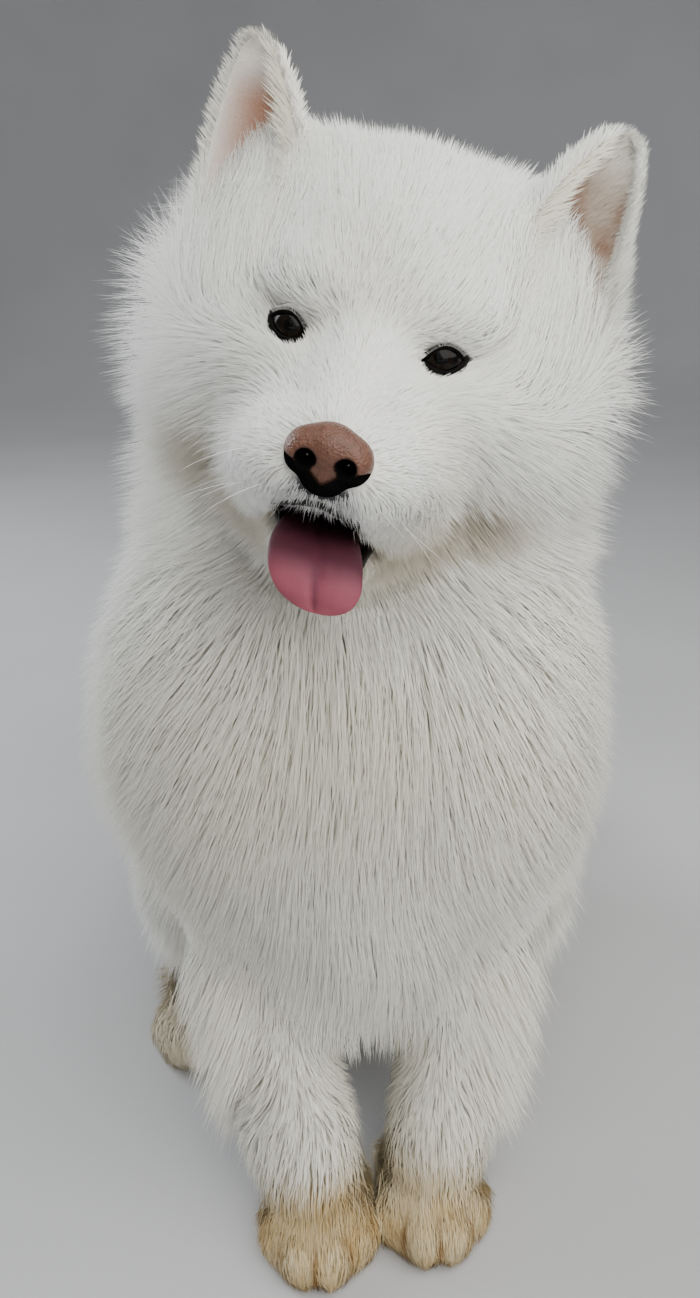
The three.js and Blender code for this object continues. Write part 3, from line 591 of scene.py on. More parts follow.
def head_lie(q):
    """The way the coat lies on the head: back from the nose, down over the lips and up the ears."""
    away = unit(q - np.array([0, -112, -34]))
    cheek = smoothstep(np.abs(q[:, 0]), 35, 75)[:, None]
    away = away + cheek * np.array([0, -0.5, -0.45]) + cheek * np.sign(q[:, :1]) * np.array([0.5, 0, 0])
    away = away + smoothstep(q[:, 1], 70, 130)[:, None] * np.array([0, 0, -1.2])
    under = (smoothstep(-q[:, 2], 52, 64) * smoothstep(-q[:, 1], -12, 25))[:, None]
    x = q[:, 0]
    down = stacked(0.35 * np.sign(x) * smoothstep(np.abs(x), 2, 14), 0, -1)
    up_ear = stacked(0.15 * np.sign(x), -0.15, 1)
    way = away * (1 - under) + down * under
    near = near_ear(q)[:, None]
    return unit(way * (1 - near) + up_ear * near) @ HEAD_AXES.T


def near_ear(q):
    """1 round the root of an ear, falling to 0 about 30 mm away from it."""
    root = (folded(q) - (74, 46, 30)) * (1, 1.1, 1)
    return 1 - smoothstep(np.linalg.norm(root, axis=1), 38, 72)


def lie_of(p, zone):
    """The way the coat lies at points, before it is laid flat on the body."""
    x, y, _ = p.T
    head = head_lie(to_head(p))
    ruff = unit(p - np.array([12, -230, 600]))
    outward = 0.45 * np.sign(x) * smoothstep(np.abs(x), 10, 100)
    body = unit(stacked(outward, 0.5 * smoothstep(y, -120, 0), -1))
    leg = unit(stacked(0.12 * np.sign(x), 0.3, -1))
    thigh = unit(stacked(0.3 * np.sign(x), -0.35, -1))
    spine = np.array(TAIL_LINE, float)
    nearest = np.argmin(((p[:, None] - spine[None]) ** 2).sum(-1), axis=1)
    tail = unit(unit(np.gradient(spine, axis=0))[nearest] + np.array([0, 0, -0.55]))
    toe = unit(np.array([0, -1, -0.45]) + 0 * p)
    ways = {"torso": body, "neck": 0.6 * ruff + 0.6 * body, "head": head, "jaw": 0.5 * head + 0.5 * body}
    ways |= {"thigh": thigh, "tail": tail, "leg": leg, "forepaw": toe, "hindfoot": toe}
    return sum(zone[name][:, None] * way for name, way in ways.items())


def scattered(count, weight):
    """Random places on the skin with their places on its map, more of them where weight is higher."""
    a, b, c, d = (skin_points[skin_quads[:, k]] for k in range(4))
    area = np.linalg.norm(np.cross(c - a, d - b), axis=1) / 2 * weight
    quad = random.choice(len(area), count, p=area / area.sum())
    s, t = random.random((2, count, 1))

    def mixed(w, x, y, z):
        return (w * (1 - s) + x * s) * (1 - t) + (z * (1 - s) + y * s) * t

    place = mixed(*(corner[quad] for corner in (a, b, c, d)))
    return place, mixed(*(skin_uv[quad, k] for k in range(4))), quad


OFF_FLOOR = 0.8  # the least height of the coat above the floor


def slope_of(read, p):
    """Distance from a surface and the direction straight out of it."""
    found = read(p)
    return found[:, 0], unit(found[:, 1:4])


def coat_paths(place, length, rise, steps=4):
    """Courses of tufts from their roots on the skin out towards the tips of the coat."""
    p = place.copy()
    zone = zones(place)
    count = len(p)
    sway = 0.20 * soft_noise(place, 70, 1) + 0.12 * soft_noise(place, 22, 2) + random.normal(0, 0.09, count)
    lift = 0.08 * soft_noise(place, 35, 3) + random.normal(0, 0.04, count)
    path, normals = [], []
    step = length / steps
    for k in range(steps + 1):
        inner, n_in = slope_of(skin_at, p)
        outer, n_out = slope_of(tips_at, p)
        depth = np.maximum(inner - outer, 2)
        here = np.clip(inner / depth, 0, 1)[:, None]
        normal = unit(n_in * (1 - here) + n_out * here)
        path.append(p)
        normals.append(normal)
        if k == steps:
            break
        lie = flat_on(lie_of(p, zone), normal)
        way = lie * np.cos(sway)[:, None] + np.cross(normal, lie) * np.sin(sway)[:, None]
        goal = rise * (1 + lift) * depth * ((k + 1) / steps) ** 0.6
        climb = np.clip(goal - inner, -0.5 * step, 0.9 * step)
        level = np.sqrt(np.maximum(step**2 - climb**2, 0))
        p = p + way * level[:, None] + normal * climb[:, None]
        p[:, 2] = np.maximum(p[:, 2], OFF_FLOOR)
    return np.stack(path, axis=1), np.stack(normals, axis=1), zone


def plain_paths(place, normal, lie, length, angle, droop=0.0, steps=4):
    """Courses of tufts that leave a surface at an angle and bend over along the way they lie."""
    t = np.linspace(0, 1, steps + 1)[None, :, None]
    up = np.sin(angle)[:, None, None] * (t - 0.35 * t**2)
    along = np.cos(angle)[:, None, None] * t
    path = place[:, None] + length[:, None, None] * (normal[:, None] * up + lie[:, None] * along)
    path[..., 2] -= droop * (t[..., 0] ** 2) * length[:, None]
    path[..., 2] = np.maximum(path[..., 2], OFF_FLOOR)
    return path, np.repeat(normal[:, None], steps + 1, axis=1)


def gathered(path, place, spacing, pull):
    """Draws the tips of neighbouring tufts together into soft locks."""
    count = max(int(len(path) / spacing), 1)
    chosen = random.choice(len(path), count, replace=False)
    tree = kdtree.KDTree(count)
    for i, at in enumerate(place[chosen]):
        tree.insert(at, i)
    tree.balance()
    owner = chosen[[tree.find(at)[1] for at in place]]
    share = np.linspace(0, 1, path.shape[1]) ** 1.6
    weight = (pull * random.uniform(0.4, 1, len(path)))[:, None, None] * share[None, :, None]
    return path + weight * (path[owner] - path)


PATCH = 0.003  # size of a tuft's place on the map


def strips(name, path, normals, uv, width, tint, stations, root_shade=0.92, twisted=0.2):
    """Thin tapered strips along courses, each turned a little about its own length."""
    at, up = path[:, stations], normals[:, stations]
    count, n = at.shape[:2]
    along = unit(np.gradient(at, axis=1))
    across = unit(np.cross(along, up))
    facing = np.cross(across, along)
    twist = random.normal(0, twisted, count)[:, None, None]
    across = across * np.cos(twist) + facing * np.sin(twist)
    taper = np.interp(np.linspace(0, 1, n), [0, 0.66, 1], [0.5, 0.36, 0])
    half = width[:, None] * taper
    edges = [at - across * half[..., None], at + across * half[..., None]]
    points = np.concatenate([edges[0][:, :-1], edges[1][:, :-1], at[:, -1:]], axis=1)
    m = n - 1
    triangles = [t for i in range(m - 1) for t in ([i, m + i, m + i + 1], [i, m + i + 1, i + 1])]
    triangles = np.array(triangles + [[m - 1, 2 * m - 1, 2 * m]])
    faces = (np.arange(count)[:, None, None] * (2 * m + 1) + triangles).reshape(-1, 3)
    made = mesh_object(name, points.reshape(-1, 3), faces)
    mesh = made.data
    share = np.array(stations) / (path.shape[1] - 1)
    share = np.concatenate([share[:-1], share[:-1], [1.0]])
    edge = np.array([-1] * m + [1] * m + [0])
    patch = (np.stack([0.5 * edge, share - 0.5], axis=-1) * PATCH)[triangles.reshape(-1)]
    patches = (uv[:, None] + patch).astype(np.float32)
    mesh.uv_layers.new(name="OFBake").data.foreach_set("uv", patches.ravel())
    # Painted shade: each tuft is darker towards its root, by root_shade, as if shaded deep in the coat.
    shade = root_shade + (1 - root_shade) * smoothstep(share, 0.0, 0.6)
    tinted(made, (tint[:, None] * shade[None, :, None]).reshape(-1, 3))
    soft = unit(0.9 * up + 0.1 * facing)
    soft = np.concatenate([soft[:, :-1], soft[:, :-1], soft[:, -1:]], axis=1)
    mesh.normals_split_custom_set_from_vertices(soft.reshape(-1, 3))
    return made


# The colours of the coat
WHITE = np.array([0.92, 0.925, 0.89])
CREAM = np.array([0.90, 0.865, 0.74])
PALE_TAN = np.array([0.78, 0.66, 0.42])
TAN = np.array([0.56, 0.38, 0.155])
TOE_GAP_SHADE = np.array([0.25, 0.13, 0.045])
GREY = np.array([0.16, 0.17, 0.18])
STAIN_AND_PAINTED_SHADE = np.array([0.50, 0.43, 0.31])


def mix(a, b, share):
    return a + (np.asarray(b) - a) * np.clip(share, 0, 1)[:, None]


def under_nose(q):
    """1 on the dark bare patch between the nose and the lip, 0 away from it."""
    x, y, z = q.T
    half = np.interp(z, [-78, -60, -54], [18, 17, 12])
    side = 1 - smoothstep(np.abs(x), half - 5, half + 4)
    return side * smoothstep(-z, 52, 58) * (1 - smoothstep(-z, 80, 92)) * smoothstep(-y, 56, 64)


def coat_tint(p, zone):
    """The colour of the hair at its root: white, warmer on the chest, biscuit on the feet, with painted
    shade between the toes and staining with painted shade along the creases under the flews.
    """
    q = to_head(p)
    warm = 0.25 + 0.3 * soft_noise(p, 90, 11) + 0.15 * soft_noise(p, 25, 12)
    warm = warm + 0.5 * smoothstep(-p[:, 1], 40, 120) * smoothstep(-p[:, 2], -470, -380)
    mouth_side = 1 - smoothstep(np.linalg.norm(q - np.array([30, -8, -92]), axis=1), 20, 75)
    warm = warm * (1 - 0.8 * smoothstep(zone["head"], 0.5, 0.9) * smoothstep(-q[:, 1], -90, -40))
    warm = warm + 0.9 * mouth_side
    feet = smoothstep(zone["forepaw"] + 0.75 * zone["hindfoot"], 0.25, 0.7) * smoothstep(-p[:, 2], -74, -46)
    streaks = 0.5 + 0.5 * soft_noise(p, 11, 13) + 0.25 * soft_noise(p, 4, 14)
    streaks = streaks + random.normal(0, 0.16, len(p))
    over_toes = smoothstep(-p[:, 1], 140, 172)
    biscuit = mix(np.tile(PALE_TAN, (len(p), 1)), TAN, streaks * (0.25 + 0.75 * over_toes))
    feet = feet * (0.6 + 0.4 * over_toes)
    toes = [form for s in SIDES.values() for (form, _, _), _ in forepaw(s)[2:]]
    off_toe = np.sort([form(p) for form in toes], axis=0)
    # Painted shade between the toes: the coat in the gaps between the forepaws' toes is darkened towards
    # dark tan.
    between = feet * smoothstep(off_toe[0], -1.5, 1.5) * (1 - smoothstep(off_toe[1], 2.5, 6.5))
    between = between * smoothstep(-p[:, 2], -32, -22)
    tint = WHITE + (CREAM - WHITE) * np.clip(warm, 0, 1)[:, None]
    tint = tint + (biscuit - tint) * np.clip(feet, 0, 1)[:, None]
    tint = mix(tint, TOE_GAP_SHADE, between)
    # Below the crease under the flews the coat is darkened: partly staining, partly painted shade under the
    # overhanging muzzle.
    tint = mix(tint, STAIN_AND_PAINTED_SHADE, 0.75 * (1 - smoothstep(crease_distance(q + np.array([0, 0, 8])), 0, 24)))
    # Along the crease itself the coat turns tan: partly staining in the fold, partly painted shade in the
    # crease.
    tint = mix(tint, TAN, 0.75 * (1 - smoothstep(crease_distance(q), 0, 6)))
    tint = mix(tint, GREY, 0.8 * under_nose(q) * (0.7 + 0.5 * soft_noise(p, 2, 15)))
    return np.clip(tint * random.normal(1, 0.02, (len(p), 1)), 0, 1)


def material(name, colour=(1, 1, 1), roughness=0.5, attribute=False, **sockets):
    made = bpy.data.materials.new(name)
    made.use_nodes = True
    shader = made.node_tree.nodes["Principled BSDF"]
    shader.inputs["Base Color"].default_value = (*colour, 1)
    shader.inputs["Roughness"].default_value = roughness
    for socket, value in sockets.items():
        shader.inputs[socket.replace("_", " ")].default_value = value
    if attribute:
        tint = made.node_tree.nodes.new("ShaderNodeAttribute")
        tint.attribute_name = "tint"
        made.node_tree.links.new(tint.outputs["Color"], shader.inputs["Base Color"])
    return made


def textured(made, scale, kind="ShaderNodeTexNoise"):
    """A texture laid in the object's own space, its scale in patches to the metre."""
    where = made.node_tree.nodes.new("ShaderNodeTexCoord")
    texture = made.node_tree.nodes.new(kind)
    texture.inputs["Scale"].default_value = scale
    made.node_tree.links.new(where.outputs["Object"], texture.inputs["Vector"])
    return texture


def varied(made, scale, darkest):
    """Makes the colour a little uneven, in patches that a noise sets."""
    nodes, links = made.node_tree.nodes, made.node_tree.links
    base = nodes["Principled BSDF"].inputs["Base Color"]
    texture = textured(made, scale)
    texture.inputs["Detail"].default_value = 1.0
    ramp = nodes.new("ShaderNodeValToRGB")
    ramp.color_ramp.elements[0].color = (darkest, darkest, darkest, 1)
    ramp.color_ramp.elements[0].position = 0.3
    ramp.color_ramp.elements[1].position = 0.62
    product = nodes.new("ShaderNodeMix")
    product.data_type = "RGBA"
    product.blend_type = "MULTIPLY"
    product.inputs[0].default_value = 1.0
    if base.is_linked:
        links.new(base.links[0].from_socket, product.inputs[6])
    else:
        product.inputs[6].default_value = base.default_value
    links.new(texture.outputs["Fac"], ramp.inputs["Fac"])
    links.new(ramp.outputs["Color"], product.inputs[7])
    links.new(product.outputs[2], base)
    return made


def bumped(made, scale, distance, strength=1.0, kind="ShaderNodeTexNoise"):
    """Adds a fine relief, its depth in metres."""
    nodes, links = made.node_tree.nodes, made.node_tree.links
    texture = textured(made, scale, kind)
    bump = nodes.new("ShaderNodeBump")
    bump.inputs["Distance"].default_value = distance
    bump.inputs["Strength"].default_value = strength
    out = "Distance" if kind == "ShaderNodeTexVoronoi" else "Fac"
    links.new(texture.outputs[out], bump.inputs["Height"])
    links.new(bump.outputs["Normal"], nodes["Principled BSDF"].inputs["Normal"])
    return made


def tinted(obj, colours):
    """Stores a colour for each of an object's points, which its material reads."""
    rgba = np.ones((len(obj.data.vertices), 4), np.float32)
    rgba[:, :3] = colours
    obj.data.attributes.new("tint", "FLOAT_COLOR", "POINT").data.foreach_set("color", rgba.ravel())


# The nose leather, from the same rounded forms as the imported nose, with comma-shaped nostrils
NOSE = np.array([0, -84, -45])
NOSE_STEP = 0.8
NOSE_FORMS = [
    (ball(NOSE + (0, 0, 4), (13.5, 12, 11)), 0),
    (ball(NOSE + (0, 2.5, -8), (11, 9.5, 9)), 0),
    *both(lambda s: [(ball(NOSE + (11 * s, 0.5, 0.5), (8.4, 10.5, 10)), 0)]),
]
NOSTRILS = both(
    lambda s: [
        limb(NOSE + (8.0 * s, -14.5, -3), 4.7, NOSE + (9.5 * s, -3, 0), 3.4),
        limb(NOSE + (9 * s, -12.5, -4.5), 2.8, NOSE + (14.5 * s, -9, -5.5), 2.2),
        limb(NOSE + (14.5 * s, -9, -5.5), 2.2, NOSE + (20.5 * s, -2, -3), 1.6),
    ]
)
GROOVE = limb(NOSE + (0, -15, -3), 0.8, NOSE + (0, -8, -17), 1.4)


def nose_distance(q):
    found = np.full(q.shape[:-1], FAR)
    for (form, _, _), _ in NOSE_FORMS:
        found = smooth_min(found, form(q), 4)
    return found


def nose():
    lines = [np.arange(*span, NOSE_STEP) for span in ((-24, 24.1), (-108, -64), (-70, -20))]
    q = np.stack(np.meshgrid(*lines, indexing="ij"), -1)
    values = nose_distance(q)
    for form, _, _ in NOSTRILS:
        values = -smooth_min(-values, form(q), 2)
    values = -smooth_min(-values, GROOVE[0](q), 2.5)
    points, quads = surface(values, lines)
    made = mesh_object("nose_leather", from_head(points), quads)
    local = points - NOSE
    hole = np.min([form(points) for form, _, _ in NOSTRILS], axis=0)
    brown, black = np.array([0.128, 0.056, 0.036]), np.array([0.004, 0.004, 0.004])
    line = np.interp(np.abs(local[:, 0]), [0, 4, 8, 14, 20], [-9.5, -7, -3.5, -4.5, -2.5])
    line = line + 0.8 * soft_noise(points, 4, 21)
    low = smoothstep(line - local[:, 2], -2, 2)
    rim = smoothstep(local[:, 1], 1, 7)
    # The lower edge and rim are the leather's own black; the insides of the nostrils are painted black too,
    # their dark lining and painted shade deep in the holes.
    dark = np.clip(low + rim + (1 - smoothstep(hole, 0.2, 1.6)), 0, 1)
    speck = 0.5 + 0.5 * soft_noise(points, 1.6, 22)
    tinted(made, mix(brown * (0.8 + 0.45 * speck[:, None]), black, dark))
    for part, rough, gloss in (("nose_leather", 0.34, 0.34), ("nose_underside", 0.7, 0.0)):
        leather = material(part, roughness=rough, attribute=True, Specular_IOR_Level=gloss)
        made.data.materials.append(bumped(leather, 900, 0.0004, 0.8, "ShaderNodeTexVoronoi"))
    shaded = (dark[quads].mean(1) > 0.6).astype(np.int32)
    made.data.polygons.foreach_set("material_index", shaded)
    return made


EYE_SHIFT = {RIGHT: (-2, 0, -3), LEFT: (-2.5, 0, 0.5)}  # each eye sits a little off the even place


def eye_centre(side):
    return np.array([EYE_SPACING / 2 * side, EYE_DEPTH, EYE_HEIGHT]) + EYE_SHIFT[side]


def lathe_eye(side):
    """An eyeball with its clear bulge, looking at whoever stands in front."""
    centre = eye_centre(side)
    gaze = unit(np.array([0.02 * side, -1, 0.05]))
    right = unit(np.cross(gaze, [0, 0, 1]))
    above = np.cross(right, gaze)
    rings, sides = 40, 48
    a = np.linspace(0, math.pi, rings)[1:-1]
    b = np.linspace(0, 2 * math.pi, sides, endpoint=False)
    radius = EYE_RADIUS - 0.25 + 0.55 * np.exp(-((a / 0.5) ** 4))
    ring = np.cos(b)[:, None] * right + np.sin(b)[:, None] * above
    way = np.cos(a)[:, None, None] * gaze + np.sin(a)[:, None, None] * ring[None]
    points = (centre + radius[:, None, None] * way).reshape(-1, 3)
    made = mesh_object("eyeball_" + SIDE_NAME[side], from_head(points), tube_quads(len(a), sides))
    away = np.repeat(a * EYE_RADIUS, sides)
    turn = np.tile(b, len(a))
    fibre = 0.75 + 0.25 * np.sin(turn * 23 + 3 * np.sin(turn * 5)) * np.sin(turn * 41)
    iris = np.array([0.011, 0.0065, 0.0045]) * fibre[:, None]
    iris = iris * (0.5 + 0.5 * smoothstep(8 - away, 0, 4)[:, None])
    colours = mix(iris, (0.0015, 0.0015, 0.0015), 1 - smoothstep(away, 2.9, 3.5))
    colours = mix(colours, (0.003, 0.0025, 0.002), smoothstep(away, 6.2, 7.2))
    colours = mix(colours, (0.02, 0.014, 0.012), smoothstep(away, 9.5, 11.5))
    tinted(made, colours)
    made.data.materials.append(material("eye", roughness=0.1, attribute=True, Specular_IOR_Level=0.16))
    return made


EYE_OPENING = {"width": 20, "height": 11.5, "slant": 13, "outward": 14}
# The lids from their inner edge out: how far from the opening, and how far above the eyeball
LID_PROFILE = [(-0.3, 0.2), (0, 0.7), (0.5, 1.25), (1.2, 1.5), (2.2, 1.7), (3.4, 1.6)]
LID_PROFILE += [(5, 1), (7, 0), (9, 0)]


def almond_axes(side):
    """The plane of the opening between the lids: its long axis, its short axis and the way out of it."""
    slant = turned((0, -EYE_OPENING["slant"] * side, 0), "Y")
    outward = turned((0, 0, EYE_OPENING["outward"] * side), "Z")
    return (outward @ slant).T


def lids(side):
    """The two lids as one band round the opening: a dark bare rim, then skin that runs into the face."""
    wide, high = EYE_OPENING["width"], EYE_OPENING["height"]
    centre = eye_centre(side)
    axes = almond_axes(side)
    a = np.linspace(0, 2 * math.pi, 72, endpoint=False)
    x = wide / 2 * np.cos(a)
    t = x / wide + 0.5
    z = 2 * t * (1 - t) * high * np.where(np.sin(a) >= 0, 1, -0.85)
    edge = stacked(x, 0, z)
    out = unit(stacked(x / wide**2 + 0.004 * np.cos(a), 0, z / high**2 + 0.004 * np.sin(a)))
    rings, colours = [], []
    rim, bare = np.array([0.004, 0.0035, 0.0035]), np.array([0.82, 0.79, 0.76])
    corner = np.abs(np.cos(a)) ** 8
    for k, (d, raised) in enumerate(LID_PROFILE):
        flat = edge + out * d * (1 + 0.9 * corner * (d < 4))[:, None]
        radius = EYE_RADIUS + raised
        y = -np.sqrt(np.maximum(radius**2 - (flat**2).sum(1), 4))
        place = from_head(centre + (flat + stacked(0, y, 0)) @ axes)
        inner, normal = slope_of(smooth_skin_at, place)
        on_skin = place - normal * (inner + (1.5 if k == len(LID_PROFILE) - 1 else -0.3))[:, None]
        share = smoothstep(d, 2.5, 7)
        rings.append(place * (1 - share) + on_skin * share)
        colours.append(np.tile(rim + (bare - rim) * smoothstep(d, 2.6, 4.2), (len(a), 1)))
    quads = tube_quads(len(LID_PROFILE), len(a))[:, ::-1]
    made = mesh_object("lids_" + SIDE_NAME[side], np.concatenate(rings), quads)
    tinted(made, np.concatenate(colours))
    lid = material("lid_skin", roughness=0.65, attribute=True, Specular_IOR_Level=0.06)
    made.data.materials.append(bumped(lid, 1400, 0.0003, 0.5))
    return made


def eye_measure(q, side, wide=11.2, high=6.6):
    """1 on an oval round the opening of one eye, less inside it and more outside."""
    centre = eye_centre(side)
    flat = (q - centre) @ almond_axes(side).T
    near = np.sqrt((flat[:, 0] / wide) ** 2 + (flat[:, 2] / high) ** 2)
    return np.where(flat[:, 1] < 4, near, FAR)


TONGUE = [
    (0, -10, -84, 0.76, 8),
    (1, -44, -85, 0.90, 8.5),
    (3, -66, -87, 1.0, 8.5),
    (5, -77, -92, 1.03, 8),
    (7, -82, -98.5, 1.0, 7.5),
    (8.5, -83.4, -104.5, 0.87, 6.5),
    (9.6, -83, -109, 0.66, 5),
    (10.2, -82.3, -111.8, 0.36, 3.4),
    (10.3, -82, -112.8, 0.04, 1),
]
TONGUE_WIDTH = 42


def tongue():
    rings, sides = 60, 40
    rows = spline(TONGUE, rings)
    along = unit(np.gradient(rows[:, :3], axis=0))
    across = np.array([1.0, 0, 0])
    up = -unit(np.cross(across, along))
    a = np.linspace(0, 2 * math.pi, sides, endpoint=False)
    groove = np.exp(-((np.cos(a) / 0.10) ** 2)) * (np.sin(a) > 0)
    dish = 0.35 * np.exp(-((np.cos(a) / 0.55) ** 2)) * (np.sin(a) > 0)
    points = []
    for row, lift in zip(rows, up):
        half = row[3] * TONGUE_WIDTH / 2
        thick = row[4] / 2
        offset = thick * np.sin(a) * (1 - 0.55 * groove - dish)
        points.append(row[:3] + half * np.cos(a)[:, None] * across + offset[:, None] * lift)
    points = np.concatenate(points)
    made = mesh_object("tongue_flesh", from_head(points), tube_quads(rings, sides))
    deep = np.repeat(np.linspace(0, 1, rings), sides)
    pink, tip, painted_tongue_shade = np.array([(0.30, 0.078, 0.108), (0.40, 0.095, 0.125), (0.070, 0.018, 0.030)])
    colours = mix(np.tile(pink, (len(points), 1)), tip, smoothstep(deep, 0.62, 0.95))
    # Painted shade: the back of the tongue, inside the mouth under the upper lip, and the groove along it
    # are darkened to a deep purple.
    colours = mix(colours, painted_tongue_shade, 1 - smoothstep(deep, 0.33, 0.60))
    colours = mix(colours, painted_tongue_shade * 1.6, 0.75 * np.tile(groove, rings) * (1 - smoothstep(deep, 0.75, 0.97)))
    colours = colours * (1 + 0.08 * soft_noise(points, 5, 31)[:, None])
    tinted(made, colours)
    flesh = material("tongue", roughness=0.5, attribute=True, Specular_IOR_Level=0.16)
    made.data.materials.append(bumped(flesh, 1500, 0.0004, 0.5))
    return made


UPPER_LIP = [(34, 0, -75), (33, -24, -74), (29, -46, -73), (22, -68, -72), (11, -80, -70), (0, -82, -68)]
LOWER_LIP = [(31, 0, -79), (27, -24, -88), (20, -42, -97), (11, -56, -104), (0, -61, -106)]
JAW_SIDEWAYS = 5  # the open jaw hangs a little to the left
LIP_RINGS, LIP_SIDES = 60, 12


def lip_course(line, sideways):
    """A smooth course from one corner of the mouth round the front to the other."""
    points = np.array(line + [(-x, y, z) for x, y, z in line[-2::-1]], float)
    points[:, 0] += sideways * smoothstep(-points[:, 1], -10, 50)
    return from_head(spline(points, LIP_RINGS))


LIPS = {"upper_lip": lip_course(UPPER_LIP, 0), "lower_lip": lip_course(LOWER_LIP, JAW_SIDEWAYS)}


def lip(name, radius):
    """The bare dark rim of a lip, half sunk in the flesh."""
    path = LIPS[name].copy()
    for _ in range(2):
        inner, normal = slope_of(smooth_skin_at, path)
        path = path - normal * (inner + 0.2)[:, None]
    along = unit(np.gradient(path, axis=0))
    inner, normal = slope_of(smooth_skin_at, path)
    across = unit(np.cross(along, normal))
    a = np.linspace(0, 2 * math.pi, LIP_SIDES, endpoint=False)
    uneven = 1 + 0.18 * soft_noise(path, 5, 41)
    ends = np.sin(np.linspace(0.02, math.pi - 0.02, LIP_RINGS)) ** 0.3
    size = (radius * uneven * ends)[:, None, None]
    ring = np.cos(a)[None, :, None] * across[:, None] * 1.2 + np.sin(a)[None, :, None] * normal[:, None]
    points = (path[:, None] + size * ring).reshape(-1, 3)
    made = mesh_object(name, points, tube_quads(LIP_RINGS, LIP_SIDES))
    dark = material("rim_skin", (0.012, 0.009, 0.009), 0.4, Specular_IOR_Level=0.3)
    dark = bumped(varied(dark, 300, 0.6), 900, 0.0005, 0.6)
    made.data.materials.append(dark)
    return made


HAIR_SAG = 0.2  # how far the end of a stiff hair drops, as a share of its length


def hairs(name, roots, ways, lengths, width, random):
    """Single stiff hairs: three-sided tapered tubes that bow under their weight."""
    n, steps, sides = len(roots), 7, 3
    t = np.linspace(0, 1, steps)
    bow = random.normal(0, 0.10, (n, 3))
    course = ways[:, None] * t[None, :, None] + bow[:, None] * (t**2)[None, :, None]
    path = roots[:, None] + lengths[:, None, None] * course
    path[..., 2] -= HAIR_SAG * lengths[:, None] * t[None] ** 2
    along = unit(np.gradient(path, axis=1))
    across = unit(np.cross(along, np.array([0.1, 0.2, 1.0])))
    up = np.cross(across, along)
    a = np.arange(sides) * 2 * math.pi / sides
    size = (width / 2 * (1 - 0.92 * t))[None, :, None, None]
    ring = np.cos(a)[:, None] * across[:, :, None] + np.sin(a)[:, None] * up[:, :, None]
    points = path[:, :, None] + size * ring
    quads = (np.arange(n)[:, None, None] * steps * sides + tube_quads(steps, sides)[None]).reshape(-1, 4)
    made = mesh_object(name, points.reshape(-1, 3), quads)
    made.data.materials.append(varied(material("whisker", (0.9, 0.89, 0.86), 0.35), 160, 0.8))
    return made


def whiskers():
    """Three rows of whiskers beside the nose and a few hairs above each eye."""
    random = np.random.default_rng(SEED + 5)
    roots, ways, lengths = [], [], []
    for s in SIDES.values():
        for row in range(3):
            for k in range(4):
                y = -76 + 11 * k + random.normal(0, 1.5)
                z = -48 - 6 * row + random.normal(0, 1)
                roots.append(np.array([(22 + 2.5 * k) * s, y, z]))
                up = 0.1 - 0.3 * row + random.normal(0, 0.12)
                ways.append(unit(np.array([s * (1.0 + 0.1 * k), -0.5 + 0.25 * k, up])))
                lengths.append(random.uniform(14, 34))
        for k in range(3):
            roots.append(np.array([(27 + 5 * k) * s, 4.0, 20 + random.normal(0, 1)]))
            ways.append(unit(np.array([0.35 * s, -0.75, 0.75 + random.normal(0, 0.1)])))
            lengths.append(random.uniform(12, 20))
    roots = from_head(np.array(roots))
    for _ in range(3):
        inner, normal = slope_of(smooth_skin_at, roots)
        roots = roots - normal * (inner + 0.5)[:, None]
    return hairs("whiskers", roots, np.array(ways) @ HEAD_AXES.T, np.array(lengths), 0.6, random)


def lashes(side):
    """A row of short lashes along the upper lid."""
    random = np.random.default_rng(SEED + 9)
    count = 26
    wide, high = EYE_OPENING["width"], EYE_OPENING["height"]
    centre = eye_centre(side)
    x = np.linspace(-0.42, 0.46, count) * wide * side
    t = x / wide + 0.5
    z = 2 * t * (1 - t) * high + 1.4
    y = -np.sqrt(np.maximum((EYE_RADIUS + 1.5) ** 2 - x**2 - z**2, 4))
    axes = almond_axes(side)
    roots = from_head(centre + stacked(x, y, z) @ axes)
    fan = x / wide * 1.4
    across = fan + random.normal(0, 0.1, count)
    up = 0.55 + random.normal(0, 0.12, count)
    ways = unit(stacked(across, -0.8, up) @ axes)
    lengths = random.uniform(3, 6, count)
    return hairs("lashes_" + SIDE_NAME[side], roots, ways @ HEAD_AXES.T, lengths, 0.4, random)


# Bare skin, seen only where the hair is thin
q = to_head(skin_points)
cups = [cup * (1 - smoothstep(height, 0.55, 0.8)) for _, _, height, cup in ears.values()]
cavity = np.concatenate([np.zeros(len(body_points)), *cups])
skin_tint = np.tile([0.84, 0.80, 0.75], (len(skin_points), 1))
skin_tint = mix(skin_tint, (0.035, 0.035, 0.038), under_nose(q))
# Inside the open mouth the skin is very dark red: partly its own dark lining, partly painted shade in the
# mouth.
skin_tint = mix(skin_tint, (0.045, 0.016, 0.018), 1 - smoothstep(mouth_distance(q), 0.5, 3))
skin_tint = mix(skin_tint, (0.44, 0.22, 0.14), cavity)
tinted(skin, skin_tint)
skin.data.materials.append(bumped(material("skin", roughness=0.7, attribute=True), 700, 0.0008, 0.5))

hair = varied(material("hair", roughness=0.8, attribute=True, Specular_IOR_Level=0.2), 420, 0.93)
SCALE = 1.0
MOST_TRIANGLES = 190000
FOUR_POINTS = (0, 2, 3, 4)
coats = []


